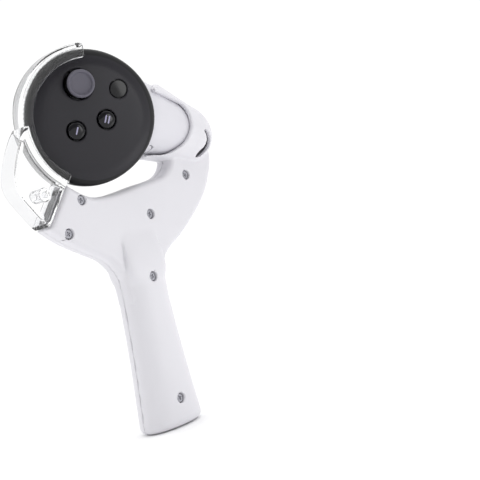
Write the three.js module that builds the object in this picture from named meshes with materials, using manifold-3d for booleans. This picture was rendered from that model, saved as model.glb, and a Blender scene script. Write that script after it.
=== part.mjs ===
// Right-hand motion controller seated in a racket-handle adapter.
// Millimetres, +Z up the handle, -Y is the front (the side that the screws and the control face are on), +X to the right seen from the front.
// Origin: centre of the flat butt face of the handle.
import * as THREE from "three";
import { mergeVertices } from "three/addons/utils/BufferGeometryUtils.js";
import Module from "manifold-3d";

const wasm = await Module();
wasm.setup();

// ---------------------------------------------------------------- driving dimensions
const WALL = 2.2; // moulded wall of the adapter shells
const GAP = 0.3; // clearance kept between touching pieces
const PLATE_HALF = 6; // half thickness of the forked plate
const SPLIT = 0.15; // each half shell stops this far from the parting plane
const HEAD_R = 31.6; // controller head, largest radius
const RK = HEAD_R / 31; // profiles below are drawn for a 31 mm head
const BUTT = 2.9; // the handle is drawn from this far below the drafting origin
const FACE_N = 3; // the flat control face, above the head's largest circle
const HEAD_CENTRE = new THREE.Vector3(-15.9, -9.0, 149.5);
const FACE_NORMAL = new THREE.Vector3(-0.4, -0.91, -0.12).normalize();
const FACE_UP = new THREE.Vector3(-0.865, 0.331, 0.377); // away from the grip
const CUP_ORIGIN = new THREE.Vector3(30, 0, 145); // a point on the grip's axis
const CUP_SLOPE = (21.3 * Math.PI) / 180; // the grip runs down to the right
const CUP_R0 = 18.9; // outside radius of the cradle at CUP_ORIGIN
const CUP_TAPER = 0.151; // radius lost per millimetre along the grip
const CUP_DOME = 20; // where the closed end starts to round
const CUP_END = 38.5; // outside end of the cradle
const CUP_WALL = 2.1;
const GRIP_CLEAR = 0.4; // air between grip and cradle
const GUARD_R = 34.9; // outside radius of the clear guard's rim
const STICK = { r: 13.55, u: 9.65, pivot: -4.5, tiltDeg: 12, clickMm: 0.5 };
const UPPER = { r: -7.6, u: 6.35 }; // upper push button
const LOWER = { r: 0.9, u: -6.7 }; // lower push button
const MENU = { r: 16.25, u: -9.45 }; // menu button
const CELL = { radius: 7.15, length: 50 };

// ---------------------------------------------------------------- colours
const WHITE = 0xe2e1e6,
  FACE = 0x35353a,
  BOWL = 0x2b2b30,
  STICK_GREY = 0x64626d,
  BUTTON = 0x26262b,
  CLEAR = 0xe9eef2,
  STEEL = 0x85868c;

// ---------------------------------------------------------------- helpers
const V = (x, y, z) => new THREE.Vector3(x, y, z);

function toSolid(geometry, matrix) {
  const g = geometry.clone();
  g.deleteAttribute("normal");
  g.deleteAttribute("uv");
  if (matrix) g.applyMatrix4(matrix);
  const m = mergeVertices(g, 2e-4);
  const p = m.attributes.position.array;
  let tri = [];
  for (let i = 0; i < m.index.count; i += 3) {
    const [a, b, c] = [m.index.array[i], m.index.array[i + 1], m.index.array[i + 2]];
    if (a !== b && b !== c && c !== a) tri.push(a, b, c);
  }
  let vol = 0;
  const A = V(0, 0, 0), B = V(0, 0, 0), C = V(0, 0, 0);
  for (let i = 0; i < tri.length; i += 3) {
    A.fromArray(p, tri[i] * 3);
    B.fromArray(p, tri[i + 1] * 3);
    C.fromArray(p, tri[i + 2] * 3);
    vol += A.dot(B.cross(C));
  }
  if (vol < 0) for (let i = 0; i < tri.length; i += 3) [tri[i + 1], tri[i + 2]] = [tri[i + 2], tri[i + 1]];
  return new wasm.Manifold(
    new wasm.Mesh({ numProp: 3, vertProperties: new Float32Array(p), triVerts: new Uint32Array(tri) }),
  );
}

function toGeometry(solid) {
  const m = solid.getMesh();
  const g = new THREE.BufferGeometry();
  g.setAttribute("position", new THREE.BufferAttribute(new Float32Array(m.vertProperties), 3));
  g.setIndex(new THREE.BufferAttribute(new Uint32Array(m.triVerts), 1));
  g.computeVertexNormals();
  return g;
}

function piece(name, solid, color, roughness = 0.5, metalness = 0) {
  const mesh = new THREE.Mesh(toGeometry(solid), new THREE.MeshStandardMaterial({ color, roughness, metalness }));
  mesh.name = name;
  return mesh;
}

// Closed loft through rings of equal length, capped at both ends.
function loft(rings) {
  const k = rings[0].length, pos = [], idx = [];
  for (const ring of rings) for (const q of ring) pos.push(q.x, q.y, q.z);
  for (let i = 0; i + 1 < rings.length; i++)
    for (let j = 0; j < k; j++) {
      const a = i * k + j, b = i * k + ((j + 1) % k), c = a + k, d = b + k;
      idx.push(a, b, d, a, d, c);
    }
  for (const [i, flip] of [[0, true], [rings.length - 1, false]]) {
    const centre = rings[i].reduce((s, q) => s.add(q), V(0, 0, 0)).divideScalar(k);
    const o = pos.length / 3;
    pos.push(centre.x, centre.y, centre.z);
    for (let j = 0; j < k; j++) {
      const a = i * k + j, b = i * k + ((j + 1) % k);
      flip ? idx.push(o, b, a) : idx.push(o, a, b);
    }
  }
  const g = new THREE.BufferGeometry();
  g.setAttribute("position", new THREE.Float32BufferAttribute(pos, 3));
  g.setIndex(idx);
  return g;
}

// Closed loft round a loop of sections, with both ends capped as flat fans (for an open arc).
const sectionLoft = loft;

function shapeOf(points) {
  const s = new THREE.Shape();
  points.forEach(([x, z], i) => (i ? s.lineTo(x, z) : s.moveTo(x, z)));
  s.closePath();
  return s;
}

// Polygon in X and Z, extruded from y0 to y1, with an optional bevel.
function slabXZ(points, y0, y1, bevel = 0, segments = 2) {
  const g = new THREE.ExtrudeGeometry(shapeOf(points), {
    depth: y1 - y0 - 2 * bevel,
    bevelEnabled: bevel > 0,
    bevelThickness: bevel,
    bevelSize: bevel,
    bevelOffset: -bevel,
    bevelSegments: segments,
    steps: 1,
  });
  g.rotateX(Math.PI / 2);
  g.translate(0, y1 - bevel, 0);
  return toSolid(g);
}

function inset(points, d) {
  const n = points.length, out = [];
  let area = 0;
  for (let i = 0; i < n; i++) {
    const [x0, y0] = points[i], [x1, y1] = points[(i + 1) % n];
    area += x0 * y1 - x1 * y0;
  }
  const s = area > 0 ? 1 : -1;
  for (let i = 0; i < n; i++) {
    const a = points[(i + n - 1) % n], b = points[i], c = points[(i + 1) % n];
    let e1 = [b[0] - a[0], b[1] - a[1]], e2 = [c[0] - b[0], c[1] - b[1]];
    const l1 = Math.hypot(...e1), l2 = Math.hypot(...e2);
    const n1 = [(-e1[1] / l1) * s, (e1[0] / l1) * s], n2 = [(-e2[1] / l2) * s, (e2[0] / l2) * s];
    const m = [n1[0] + n2[0], n1[1] + n2[1]], ml = Math.hypot(...m);
    const cosHalf = ml / 2, k = d / Math.max(cosHalf, 0.5) / ml;
    out.push([b[0] + m[0] * k, b[1] + m[1] * k]);
  }
  return out;
}

// Solid of revolution: profile of [radius, height] about local +Y, then placed by a matrix.
function turned(profile, segments, matrix) {
  return toSolid(new THREE.LatheGeometry(profile.map(([a, b]) => new THREE.Vector2(a, b)), segments), matrix);
}

function frameMatrix(xAxis, yAxis, zAxis, origin) {
  return new THREE.Matrix4().makeBasis(xAxis, yAxis, zAxis).setPosition(origin);
}

// Frame with local +Y along `axis`, for turned pieces and cylinders.
function alongAxis(origin, axis) {
  const q = new THREE.Quaternion().setFromUnitVectors(V(0, 1, 0), axis.clone().normalize());
  return new THREE.Matrix4().compose(origin, q, V(1, 1, 1));
}
function rod(origin, axis, radius, length, segments = 16, r2 = radius) {
  return turned([[0, 0], [radius, 0], [r2, length], [0, length]], segments, alongAxis(origin, axis));
}
function ringY(origin, axis, rIn, rOut, length, segments = 24) {
  return turned([[rIn, 0], [rOut, 0], [rOut, length], [rIn, length], [rIn, 0]], segments, alongAxis(origin, axis));
}
function block(cx, cy, cz, sx, sy, sz) {
  const g = new THREE.BoxGeometry(sx, sy, sz);
  g.translate(cx, cy, cz);
  return toSolid(g);
}
function coil(origin, axis, radius, wire, turns, pitch, r2 = radius, stepsPerTurn = 14) {
  const pts = [], n = Math.round(turns * stepsPerTurn), m = alongAxis(origin, axis);
  for (let i = 0; i <= n; i++) {
    const t = i / n, a = t * turns * 2 * Math.PI, r = radius + (r2 - radius) * t;
    pts.push(V(r * Math.cos(a), t * turns * pitch, r * Math.sin(a)).applyMatrix4(m));
  }
  const s = new THREE.Shape();
  for (let i = 0; i < 5; i++) {
    const a = (i * 2 * Math.PI) / 5;
    i ? s.lineTo(wire * Math.cos(a), wire * Math.sin(a)) : s.moveTo(wire, 0);
  }
  s.closePath();
  const g = new THREE.ExtrudeGeometry(s, { steps: n, bevelEnabled: false, extrudePath: new THREE.CatmullRomCurve3(pts) });
  return toSolid(g);
}

// ================================================================= ADAPTER
// ---- handle: a flared oval bar that runs up into the forked plate. [z, half width, half depth]
const HANDLE = [
  [-BUTT, 16.7, 9.2], [-1.9, 17.6, 10.2], [0, 18.0, 10.6], [15, 16.5, 10.4], [30, 15.0, 10.2],
  [45, 13.9, 10.1], [60, 13.1, 10.0], [70, 12.8, 9.9], [78, 12.4, 9.6], [85, 10.6, 8.6], [91, 7.5, 7.0], [94, 4.0, 5.2],
];
function oval(z, a, b, k = 24, e = 2.2) {
  const out = [];
  for (let i = 0; i < k; i++) {
    const t = (i / k) * 2 * Math.PI, c = Math.cos(t), s = Math.sin(t);
    out.push(V(a * Math.sign(c) * Math.abs(c) ** (2 / e), b * Math.sign(s) * Math.abs(s) ** (2 / e), z));
  }
  return out;
}
const handleOuter = toSolid(loft(HANDLE.map(([z, a, b]) => oval(z, a, b))));
const handleInner = toSolid(
  loft(
    [[WALL - BUTT, 15.0, 7.9], [15, 14.1, 8.0], [30, 12.6, 7.9], [45, 11.5, 7.8], [60, 10.7, 7.7], [70, 10.4, 7.6], [78, 9.9, 7.1], [86, 7.6, 5.9]].map(
      ([z, a, b]) => oval(z, a, b, 16),
    ),
  ),
);

// ---- forked plate: outline in X and Z
const PLATE = [
  [-12.6, 60], [12.6, 60], [12.8, 66], [13.3, 71.5], [14.8, 76.3], [17.4, 79.8], [21.8, 82.8], [29.4, 86.8], [38, 92.6],
  [46.8, 99.5], [54.0, 106.5], [59.1, 114.2], [62.3, 121], [63.6, 128.5], [50, 130], [33.8, 130], [33.0, 125.5], [30.8, 121.8],
  [27.8, 119.4], [24.2, 117.8], [16.8, 116.6], [8.2, 115.7], [-2.3, 114.2], [-14.2, 113.1], [-21.4, 113.5], [-26.2, 115.3],
  [-30.6, 117.9], [-35.0, 121.0], [-50.4, 102.6], [-44.4, 97.6], [-37.6, 93.0], [-28.0, 87.6], [-20.6, 83.3], [-16.2, 78.4],
  [-13.6, 73.2], [-12.7, 67],
];
const plateOuter = slabXZ(PLATE, -PLATE_HALF, PLATE_HALF, 2.2, 2);
const plateInner = slabXZ(inset(PLATE, WALL), -PLATE_HALF + WALL, PLATE_HALF - WALL);

// ---- cradle for the grip: a cone with a domed, closed lower right end
const cupDir = V(Math.cos(CUP_SLOPE), 0, -Math.sin(CUP_SLOPE));
const cupUp = V(Math.sin(CUP_SLOPE), 0, Math.cos(CUP_SLOPE));
const cupBack = cupUp.clone().cross(cupDir); // +Y
const cupFrame = frameMatrix(cupUp, cupDir, cupBack, CUP_ORIGIN);
const cupRadius = (s) => {
  if (s <= CUP_DOME) return CUP_R0 - CUP_TAPER * s;
  const re = CUP_R0 - CUP_TAPER * CUP_DOME, t = Math.min(1, (s - CUP_DOME) / (CUP_END - CUP_DOME));
  return re * Math.sqrt(Math.max(0, 1 - t * t));
};
function coneProfile(offset, from, endShift) {
  const pts = [[0, from]];
  for (const s of [from, 5, CUP_DOME]) pts.push([cupRadius(s) - offset, s]);
  const re = cupRadius(CUP_DOME) - offset, len = CUP_END - endShift - CUP_DOME;
  for (let i = 1; i < 5; i++) {
    const t = Math.sin((i * Math.PI) / 10);
    pts.push([re * Math.cos((i * Math.PI) / 10), CUP_DOME + len * t]);
  }
  pts.push([0, CUP_DOME + len]);
  return pts;
}
const cupOuter = turned(coneProfile(0, -16, 0), 28, cupFrame);
const cupInner = turned(coneProfile(CUP_WALL, -17, CUP_WALL), 28, cupFrame);
// The window that shows the grip: its top edge, the scooped collar mouth and the lower lip, seen from the front
const WINDOW = [
  [-8, 167], [8, 162], [18.5, 158.6], [28.4, 155.7], [38.2, 152.6], [41.5, 151.1], [42.7, 149], [43, 146.3], [43, 143.8],
  [42.8, 141.4], [42.3, 139.3], [41.3, 137.1], [39.9, 134.8], [38.4, 132.8], [36.8, 131.3], [34.5, 130], [32.6, 129.1],
  [30.8, 128.5], [28, 128.3], [24, 128.8], [18, 129.6], [-8, 133],
];
const windowCut = slabXZ(WINDOW, -40, -1.2);
const endCutFront = slabXZ([[-30, 100], [19, 100], [19, 131], [14, 158], [34, 164.5], [34, 190], [-30, 190]], -40, 0);
const endCutRear = slabXZ([[-30, 100], [19, 100], [19.5, 131], [25, 150], [34, 160], [34, 190], [-30, 190]], 0, 40);
const cradle = cupOuter.subtract(windowCut).subtract(endCutFront).subtract(endCutRear);

// ---- screws: [x, z, front surface y]
const SCREWS = [
  [-29.1, 113.0, -6], [-40.4, 98.9, -6], [11.2, 100.3, -6], [41.2, 116.3, -6], [0.4, 70.6, -9.9], [0.1, 10.4, -10.5],
];
const allOuter = handleOuter.add(plateOuter).add(cradle);
const armCavity = plateInner.subtract(cupOuter);
// the left arm is open at its end, to take the tongue of the clear guard
const guardU = V(0.638, 0, 0.77); // along the end of the left arm
const guardOut = V(-0.77, 0, 0.638); // out of the arm
const guardLine = V(-51.1, 0, 102.5);
const onArm = (a, b) => [guardLine.x + guardU.x * a + guardOut.x * b, guardLine.z + guardU.z * a + guardOut.z * b];
const tongueSlot = slabXZ([onArm(3.6, 6), onArm(3.6, -8), onArm(22.6, -8), onArm(22.6, 6)], -3.2, 3.2);
const endTrim = slabXZ([onArm(-8, 12), onArm(-8, 0.3), onArm(40, 0.3), onArm(40, 12)], -12, 12);
let cavity = handleInner.add(armCavity).add(tongueSlot);

const lanyardSlot = slabXZ(
  [[51.9, 136.4], [54.2, 137], [57.6, 133.2], [58, 129.4], [55.2, 126.4], [51.2, 124.2], [48.2, 124.6], [48.6, 126.4], [51.6, 128.4], [53.3, 131], [53.2, 133.6]],
  -30, -1.2,
);

function shell(front) {
  const far = 60, s = front ? -1 : 1;
  const half = front ? block(0, -far / 2 - SPLIT, 90, 400, far, 300) : block(0, far / 2 + SPLIT, 90, 400, far, 300);
  let body = allOuter.subtract(endTrim).subtract(cavity);
  // screw bosses
  for (const [x, z, yf] of SCREWS) {
    const depth = front ? -yf : -yf;
    const boss = rod(V(x, 0, z), V(0, s, 0), 3.6, depth - 0.8, 10);
    body = body.add(boss);
  }
  body = body.subtract(cupInner);
  for (const [x, z, yf] of SCREWS) {
    if (front) {
      body = body.subtract(rod(V(x, yf - 3, z), V(0, 1, 0), 2.5, 3 + 3.0, 12)); // counterbore
      body = body.subtract(rod(V(x, yf - 3, z), V(0, 1, 0), 1.6, 30, 8)); // shank clearance
    } else body = body.subtract(rod(V(x, -1, z), V(0, 1, 0), 1.6, 5.2, 8)); // pilot hole
  }
  // the front shell carries the whole middle of the butt
  const lap = block(0, 0.9, -BUTT, 24, 4.2, 3.4), lapRoom = block(0, 1.5, -BUTT, 24.6, 3.6, 4.0);
  if (front) return body.intersect(half).subtract(lanyardSlot).add(lap.intersect(handleOuter));
  return body.intersect(half).subtract(lapRoom);
}
const frontShell = shell(true);
const rearShell = shell(false);

function screw(x, yHead, z, length) {
  // pan head with a recess, shank along +Y
  const prof = [[0, 0.9], [0.9, 0.9], [0.9, 0], [2.15, 0], [2.15, 1.7], [1.2, 1.7], [1.2, length], [0, length + 0.6]];
  return turned(prof, 8, alongAxis(V(x, yHead, z), V(0, 1, 0)));
}

// ================================================================= CONTROLLER (local frame r, u, n)
const faceR = FACE_UP.clone().cross(FACE_NORMAL).normalize();
const faceU = FACE_NORMAL.clone().cross(faceR).normalize();
const headMatrix = frameMatrix(faceR, faceU, FACE_NORMAL, HEAD_CENTRE);
const toLocal = headMatrix.clone().invert();
// turned about the head's axis: lathe +Y becomes +n
const headTurn = frameMatrix(V(1, 0, 0), V(0, 0, 1), V(0, -1, 0), V(0, 0, 0));
const turnedN = (profile, segments, r = 0, u = 0) =>
  turned(profile, segments, new THREE.Matrix4().makeTranslation(r, u, 0).multiply(headTurn));
const rodN = (r, u, n0, n1, radius, segments = 16, r2 = radius) =>
  turnedN([[0, n0], [radius, n0], [r2, n1], [0, n1]], segments, r, u);
const ringN = (r, u, n0, n1, a, b, segments = 20) => turnedN([[a, n0], [b, n0], [b, n1], [a, n1], [a, n0]], segments, r, u);

// ---- face plate with its wells
let facePlate = turnedN(
  [[0, 1.2], [26.4, 1.2], [28.6, 0.2], [29.2, -1.0], [31, -1.0], [30.7, 0.5], [29.5, 1.9], [27.2, FACE_N], [0, FACE_N]].map(([a, b]) => [a * RK, b]), 40,
);
for (const [r, u] of [[-18, -14], [-6, 22.5], [16, 19.2]]) facePlate = facePlate.add(rodN(r, u, -6.4, 1.6, 2.2, 10));
for (const [r, u] of [[-18, -14], [-6, 22.5], [16, 19.2]]) facePlate = facePlate.subtract(rodN(r, u, -7, -1.4, 1.0, 8));
facePlate = facePlate
  .subtract(rodN(STICK.r, STICK.u, -8, 8, 7.2, 24))
  .subtract(rodN(UPPER.r, UPPER.u, -8, 8, 4.75, 20))
  .subtract(rodN(LOWER.r, LOWER.u, -8, 8, 4.75, 20))
  .subtract(rodN(MENU.r, MENU.u, -8, 8, 4.45, 20));

// ---- head housing: the rear bowl, open to the trigger and to the grip
const bowlOut = [[31, -1.3], [31, -5], [30.2, -9.8], [28.2, -14], [24.6, -17.8], [19, -20.6], [10, -22.2], [0, -22.6]];
const bowlIn = [[0, -20.8], [10, -20.4], [18.3, -18.9], [23.4, -16.4], [26.7, -13], [28.6, -9.2], [29.2, -5], [29.2, -1.3]];
let headHousing = turnedN([...bowlOut, ...bowlIn, [31, -1.3]].map(([a, b]) => [a * RK, b]), 36);
const triggerWindow = toSolid(new THREE.BoxGeometry(14.6, 15, 16).translate(4, 16.6, -20));
const neckWindow = rodN(6, -8, -30, -16, 7, 16);
headHousing = headHousing.subtract(triggerWindow).subtract(neckWindow);
const bowlSolid = headHousing;

// ---- grip: lofted from behind the head to its rounded end, about the cradle's axis
const gOrigin = CUP_ORIGIN.clone().applyMatrix4(toLocal);
const gDir = cupDir.clone().transformDirection(toLocal);
const gUp = V(1, 0, 0).addScaledVector(gDir, -gDir.x).normalize(); // towards the palm side, +r
const gFront = gUp.clone().cross(gDir).negate(); // placeholder, fixed below
if (gFront.z < 0) gFront.negate(); // towards the user, +n
function gripRing(s, radius, shiftUp = 0, shiftFront = 0, k = 28) {
  const c = gOrigin.clone().addScaledVector(gDir, s).addScaledVector(gUp, shiftUp).addScaledVector(gFront, shiftFront);
  const out = [];
  for (let i = 0; i < k; i++) {
    const t = (i / k) * 2 * Math.PI;
    out.push(c.clone().addScaledVector(gUp, radius * Math.cos(t)).addScaledVector(gFront, radius * Math.sin(t)));
  }
  return out;
}
const gripRadius = (s) => cupRadius(s) - CUP_WALL - GRIP_CLEAR;
const GRIP_END = 33.0;
function gripLoft(inset, s0, end, k = 28) {
  const rings = [];
  // hump behind the head
  if (s0 < -40) rings.push(gripRing(-52, 7 - inset, 0, 5, k), gripRing(-46, 11.5 - inset, 0, 3, k), gripRing(-38, 15.2 - inset, 0, 1.2, k));
  rings.push(gripRing(-28, 17.3 - inset, 0, 0.3, k));
  for (const s of [-14, 0, 10, CUP_DOME]) rings.push(gripRing(s, gripRadius(s) - inset, 0, 0, k));
  const re = gripRadius(CUP_DOME) - inset, len = end - CUP_DOME;
  for (let i = 1; i < 5; i++) {
    const a = (i * Math.PI) / 10;
    rings.push(gripRing(CUP_DOME + len * Math.sin(a), re * Math.cos(a), 0, 0, k));
  }
  return toSolid(loft(rings));
}
const gripOuter = gripLoft(0, -52, GRIP_END);
const gripInner = gripLoft(1.9, -52, GRIP_END - 1.9, 20);
const bowlKeepOut = turnedN([[0, -22.95], [10, -22.55], [19.2, -20.95], [24.9, -18.15], [28.55, -14.25], [30.6, -9.95], [31.4, -5], [31.4, 6], [0, 6]].map(([a, b]) => [a * RK, b]), 36);
const gFrame = frameMatrix(gUp, gDir, gUp.clone().cross(gDir), gOrigin); // local X = gUp, Y = along the grip
const onGrip = (up, s, front) => gOrigin.clone().addScaledVector(gUp, up).addScaledVector(gDir, s).addScaledVector(gFront, front);

// pieces of the grip wall cut out by an angular sector: angle from the front, positive towards -up
function sector(a0, a1, s0, s1, r0, r1, steps = 8) {
  const ringAt = (s) => {
    const out = [];
    for (let i = 0; i <= steps; i++) out.push([r1, a0 + ((a1 - a0) * i) / steps]);
    for (let i = steps; i >= 0; i--) out.push([r0, a0 + ((a1 - a0) * i) / steps]);
    return out.map(([r, a]) => onGrip(-r * Math.sin((a * Math.PI) / 180), s, r * Math.cos((a * Math.PI) / 180)));
  };
  return toSolid(loft([ringAt(s0), ringAt(s1)]));
}
// a cut with parallel sides, so that a pad can move straight in between them
function band(mid, half, s0, s1, r0, r1) {
  const t = (mid * Math.PI) / 180, at = (r, w, s) => onGrip(-r * Math.sin(t) - w * Math.cos(t), s, r * Math.cos(t) - w * Math.sin(t));
  return toSolid(loft([s0, s1].map((s) => [at(r1, -half, s), at(r1, half, s), at(r0, half, s), at(r0, -half, s)])));
}
const BTN = { mid: 88, half: 11.4, s0: -24.5, s1: -3.6 }; // grip button, on the finger side
const DOOR = { a0: 190, a1: 280, s0: -12, s1: 24 }; // battery door, on the palm side
const btnOpening = band(BTN.mid, BTN.half, BTN.s0, BTN.s1, 9.5, 25);
const doorOpening = sector(DOOR.a0, DOOR.a1, DOOR.s0, DOOR.s1 + 3.3, 9, 25, 10);
const gripShell = gripOuter.subtract(gripInner).subtract(bowlKeepOut).subtract(btnOpening).subtract(doorOpening);
const door = gripOuter.subtract(bowlKeepOut).subtract(gripLoft(1.7, -52, GRIP_END - 1.7, 28)).intersect(sector(DOOR.a0 + 1.3, DOOR.a1 - 1.3, DOOR.s0 + 0.3, DOOR.s1, 9, 25, 10));
const btnPad = gripOuter.subtract(bowlKeepOut.scale([1.05, 1.05, 1.06])).subtract(gripLoft(2.2, -52, GRIP_END - 2, 28)).intersect(band(BTN.mid, BTN.half - 0.4, BTN.s0 + 1.0, BTN.s1 - 0.4, 9, 25));
// hinge lugs of the grip button, on a pin parallel to the face
const btnPinS = BTN.s1 - 2.2;
const btnPinUp = -(gripRadius(-5) - 4.6);
const pinAxis = gFront.clone();
const gripButton = btnPad
  .add(
    rod(onGrip(btnPinUp, btnPinS, -5), pinAxis, 1.7, 10, 14).add(
      toSolid(new THREE.BoxGeometry(3.4, 3.0, 10).applyMatrix4(frameMatrix(gUp, gDir, gUp.clone().cross(gDir), onGrip(btnPinUp - 1.4, btnPinS, 0)))),
    ).intersect(gripLoft(0.4, -52, GRIP_END - 2, 24)),
  )
  .subtract(rod(onGrip(btnPinUp, btnPinS, -9), pinAxis, 0.85, 18, 12));
const gripButtonPin = rod(onGrip(btnPinUp, btnPinS, -7.6), pinAxis, 0.6, 15.2, 10);
const gripButtonSpring = coil(onGrip(btnPinUp, btnPinS, 5.6), pinAxis, 0.96, 0.15, 2, 0.6, 0.96, 10);

// the bowl opens into the grip for the battery and its wires
const cellWay = rod(onGrip(1.2, -32, -0.6), gDir, 9.2, 34, 20);
headHousing = headHousing.subtract(cellWay);

// battery, its cradle and contacts
const cellS0 = -21.5;
const batteryCell = turned(
  [[0, 0], [CELL.radius, 0], [CELL.radius, 48.4], [2.7, 48.4], [2.7, CELL.length], [0, CELL.length]], 24,
  alongAxis(onGrip(1.2, cellS0, -0.6), gDir),
);
const cradleAxisPoint = (s) => onGrip(1.2, s, -0.6);
let batteryCradle = ringY(cradleAxisPoint(cellS0 - 4.2), gDir, 7.5, 8.7, 46.5, 24);
{
  // keep the half that faces the finger side, and close its inner end
  const keep = toSolid(new THREE.BoxGeometry(12, 46.5, 30).applyMatrix4(frameMatrix(gUp, gDir, gUp.clone().cross(gDir), onGrip(-5.2, cellS0 - 4.2 + 23.25, 0))));
  batteryCradle = batteryCradle.add(rod(cradleAxisPoint(cellS0 - 4.2), gDir, 8.0, 1.2, 20)).intersect(keep);
}
const contactSpring = coil(cradleAxisPoint(cellS0 - 2.7), gDir, 4.2, 0.3, 2.5, 0.85, 2.2, 10);
const contactPlate = toSolid(new THREE.BoxGeometry(7, 0.5, 7).applyMatrix4(frameMatrix(gUp, gDir, gUp.clone().cross(gDir), cradleAxisPoint(cellS0 + CELL.length + 0.6))));

// ---- controls on the face
const P = STICK.pivot;
let thumbstickCap = turnedN(
  [[0, 5.9], [2.2, 5.9], [2.2, 5.5], [5.2, 5.75], [6.2, 6.15], [6.5, 6.6], [6.3, 7.9], [5.5, 8.6], [4.8, 8.4], [4.0, 7.9], [0, 7.6]], 28, STICK.r, STICK.u,
).subtract(rodN(STICK.r, STICK.u, 4, 6.9, 1.35, 12));
// domed skirt under the cap, a part of the cap moulding
const skirt = turnedN([[1.5, 6.2], [3.1, 6.0], [3.6, 4.6], [5.0, 2.6], [5.9, 0.35], [5.1, 0.15], [4.2, 2.2], [2.8, 4.0], [1.5, 4.5], [1.5, 6.2]], 24, STICK.r, STICK.u);
thumbstickCap = thumbstickCap.add(skirt).subtract(rodN(STICK.r, STICK.u, -4, 6.9, 1.5, 12));
const stickStem = turnedN([[0, P - 1.3], [1.1, P - 1.1], [1.1, 6.6], [0, 6.6]], 12, STICK.r, STICK.u)
  .add(toSolid(new THREE.BoxGeometry(2.0, 6.0, 1.4).translate(STICK.r, STICK.u, P)));
const gimbalRing = ringN(STICK.r, STICK.u, P - 0.9, P + 0.9, 3.4, 4.4, 20)
  .add(toSolid(new THREE.BoxGeometry(1.2, 1.6, 1.4).translate(STICK.r + 4.9, STICK.u, P)))
  .add(toSolid(new THREE.BoxGeometry(1.2, 1.6, 1.4).translate(STICK.r - 4.9, STICK.u, P)));
const stickCarriage = toSolid(new THREE.BoxGeometry(14, 13, 3.4).translate(STICK.r, STICK.u, P + 0.1))
  .subtract(toSolid(new THREE.BoxGeometry(11.8, 11, 6).translate(STICK.r, STICK.u, P)))
  .subtract(rodN(STICK.r, STICK.u, -12, 3, 4.9, 16));
const stickBase = toSolid(new THREE.BoxGeometry(14, 13, 0.8).translate(STICK.r, STICK.u, -7.5));

function buttonCap(c) {
  return turnedN([[0, -3.6], [1.7, -3.6], [1.7, 0.1], [4.9, 0.1], [4.9, 0.8], [4.3, 0.8], [4.3, 2.6], [3.6, 3.3], [2.2, 3.8], [0, 4.0]], 24, c.r, c.u);
}
const menuButton = turnedN([[0, -3.6], [1.5, -3.6], [1.5, 0.1], [4.6, 0.1], [4.6, 0.8], [4.1, 0.8], [4.1, 2.8], [3.7, 3.15], [0, 3.15]], 24, MENU.r, MENU.u);

// ---- electronics
const BOARD = [-8.9, -7.95];
let mainBoard = rodN(0, 0, BOARD[0], BOARD[1], 25, 40)
  .subtract(toSolid(new THREE.BoxGeometry(16, 14, 6).translate(4, 22.4, -8)));
for (const [r, u] of [[-18, -14], [-6, 22.5], [16, 19.2]]) mainBoard = mainBoard.subtract(rodN(r, u, -12, -4, 1.25, 10));
let domeMat = toSolid(new THREE.BoxGeometry(30, 8, 0.8).translate(4, -8.4, -7.2)).add(toSolid(new THREE.BoxGeometry(10, 20, 0.8).translate(-6, -0.5, -7.2)));
for (const c of [UPPER, LOWER, MENU]) domeMat = domeMat.add(rodN(c.r, c.u, -7.5, -5.1, 3.0, 16, 1.8));
domeMat = domeMat.subtract(toSolid(new THREE.BoxGeometry(15, 14, 6).translate(STICK.r, STICK.u, -7)));
const ledStrip = ringN(0, 0, -6.8, -3.0, 27.6, 28.2, 40).subtract(toSolid(new THREE.BoxGeometry(8, 12, 8).translate(4, -28, -5)));
const hapticMotor = rodN(-14, -7, -15.6, -11.0, 5, 20);
const boardScrew = (r, u) => turnedN([[0, -10.2], [1.9, -10.2], [1.9, -9.15], [0.75, -9.15], [0.75, -2.6], [0, -2.6]], 10, r, u);

// ---- trigger: a lever through the back of the head, on a pin along r
const TP = { u: 17.6, n: -13.2 };
const trigProfile = [
  [20.2, -11.6], [21.8, -15.5], [22.3, -20.5], [21.2, -26], [18.4, -31], [13.4, -35.6], [8.2, -37.6], [7.6, -35.4], [11.4, -32.2],
  [14, -27.4], [14.6, -22.5], [14.2, -17.5], [15.0, -12.4], [17.4, -10.6],
];
function slabUN(points, r0, r1, bevel) {
  const g = new THREE.ExtrudeGeometry(shapeOf(points), {
    depth: r1 - r0 - 2 * bevel, bevelEnabled: bevel > 0, bevelThickness: bevel, bevelSize: bevel, bevelOffset: -bevel, bevelSegments: 1, steps: 1,
  });
  // shape x -> u, shape y -> n, depth -> r
  const m = frameMatrix(V(0, 1, 0), V(0, 0, 1), V(1, 0, 0), V(r0 + bevel, 0, 0));
  return toSolid(g, m);
}
const trigger = slabUN(trigProfile, -2.4, 10.4, 0.8).subtract(rod(V(-6, TP.u, TP.n), V(1, 0, 0), 1.35, 20, 14));
const triggerPin = rod(V(-3.6, TP.u, TP.n), V(1, 0, 0), 1.0, 18.4, 12);
const triggerSpring = coil(V(11.4, TP.u, TP.n), V(1, 0, 0), 2.0, 0.3, 3, 0.75, 2.0, 10);
const triggerSensor = toSolid(new THREE.BoxGeometry(0.8, 7, 6).translate(-4.2, 11.5, -12.6));

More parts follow.
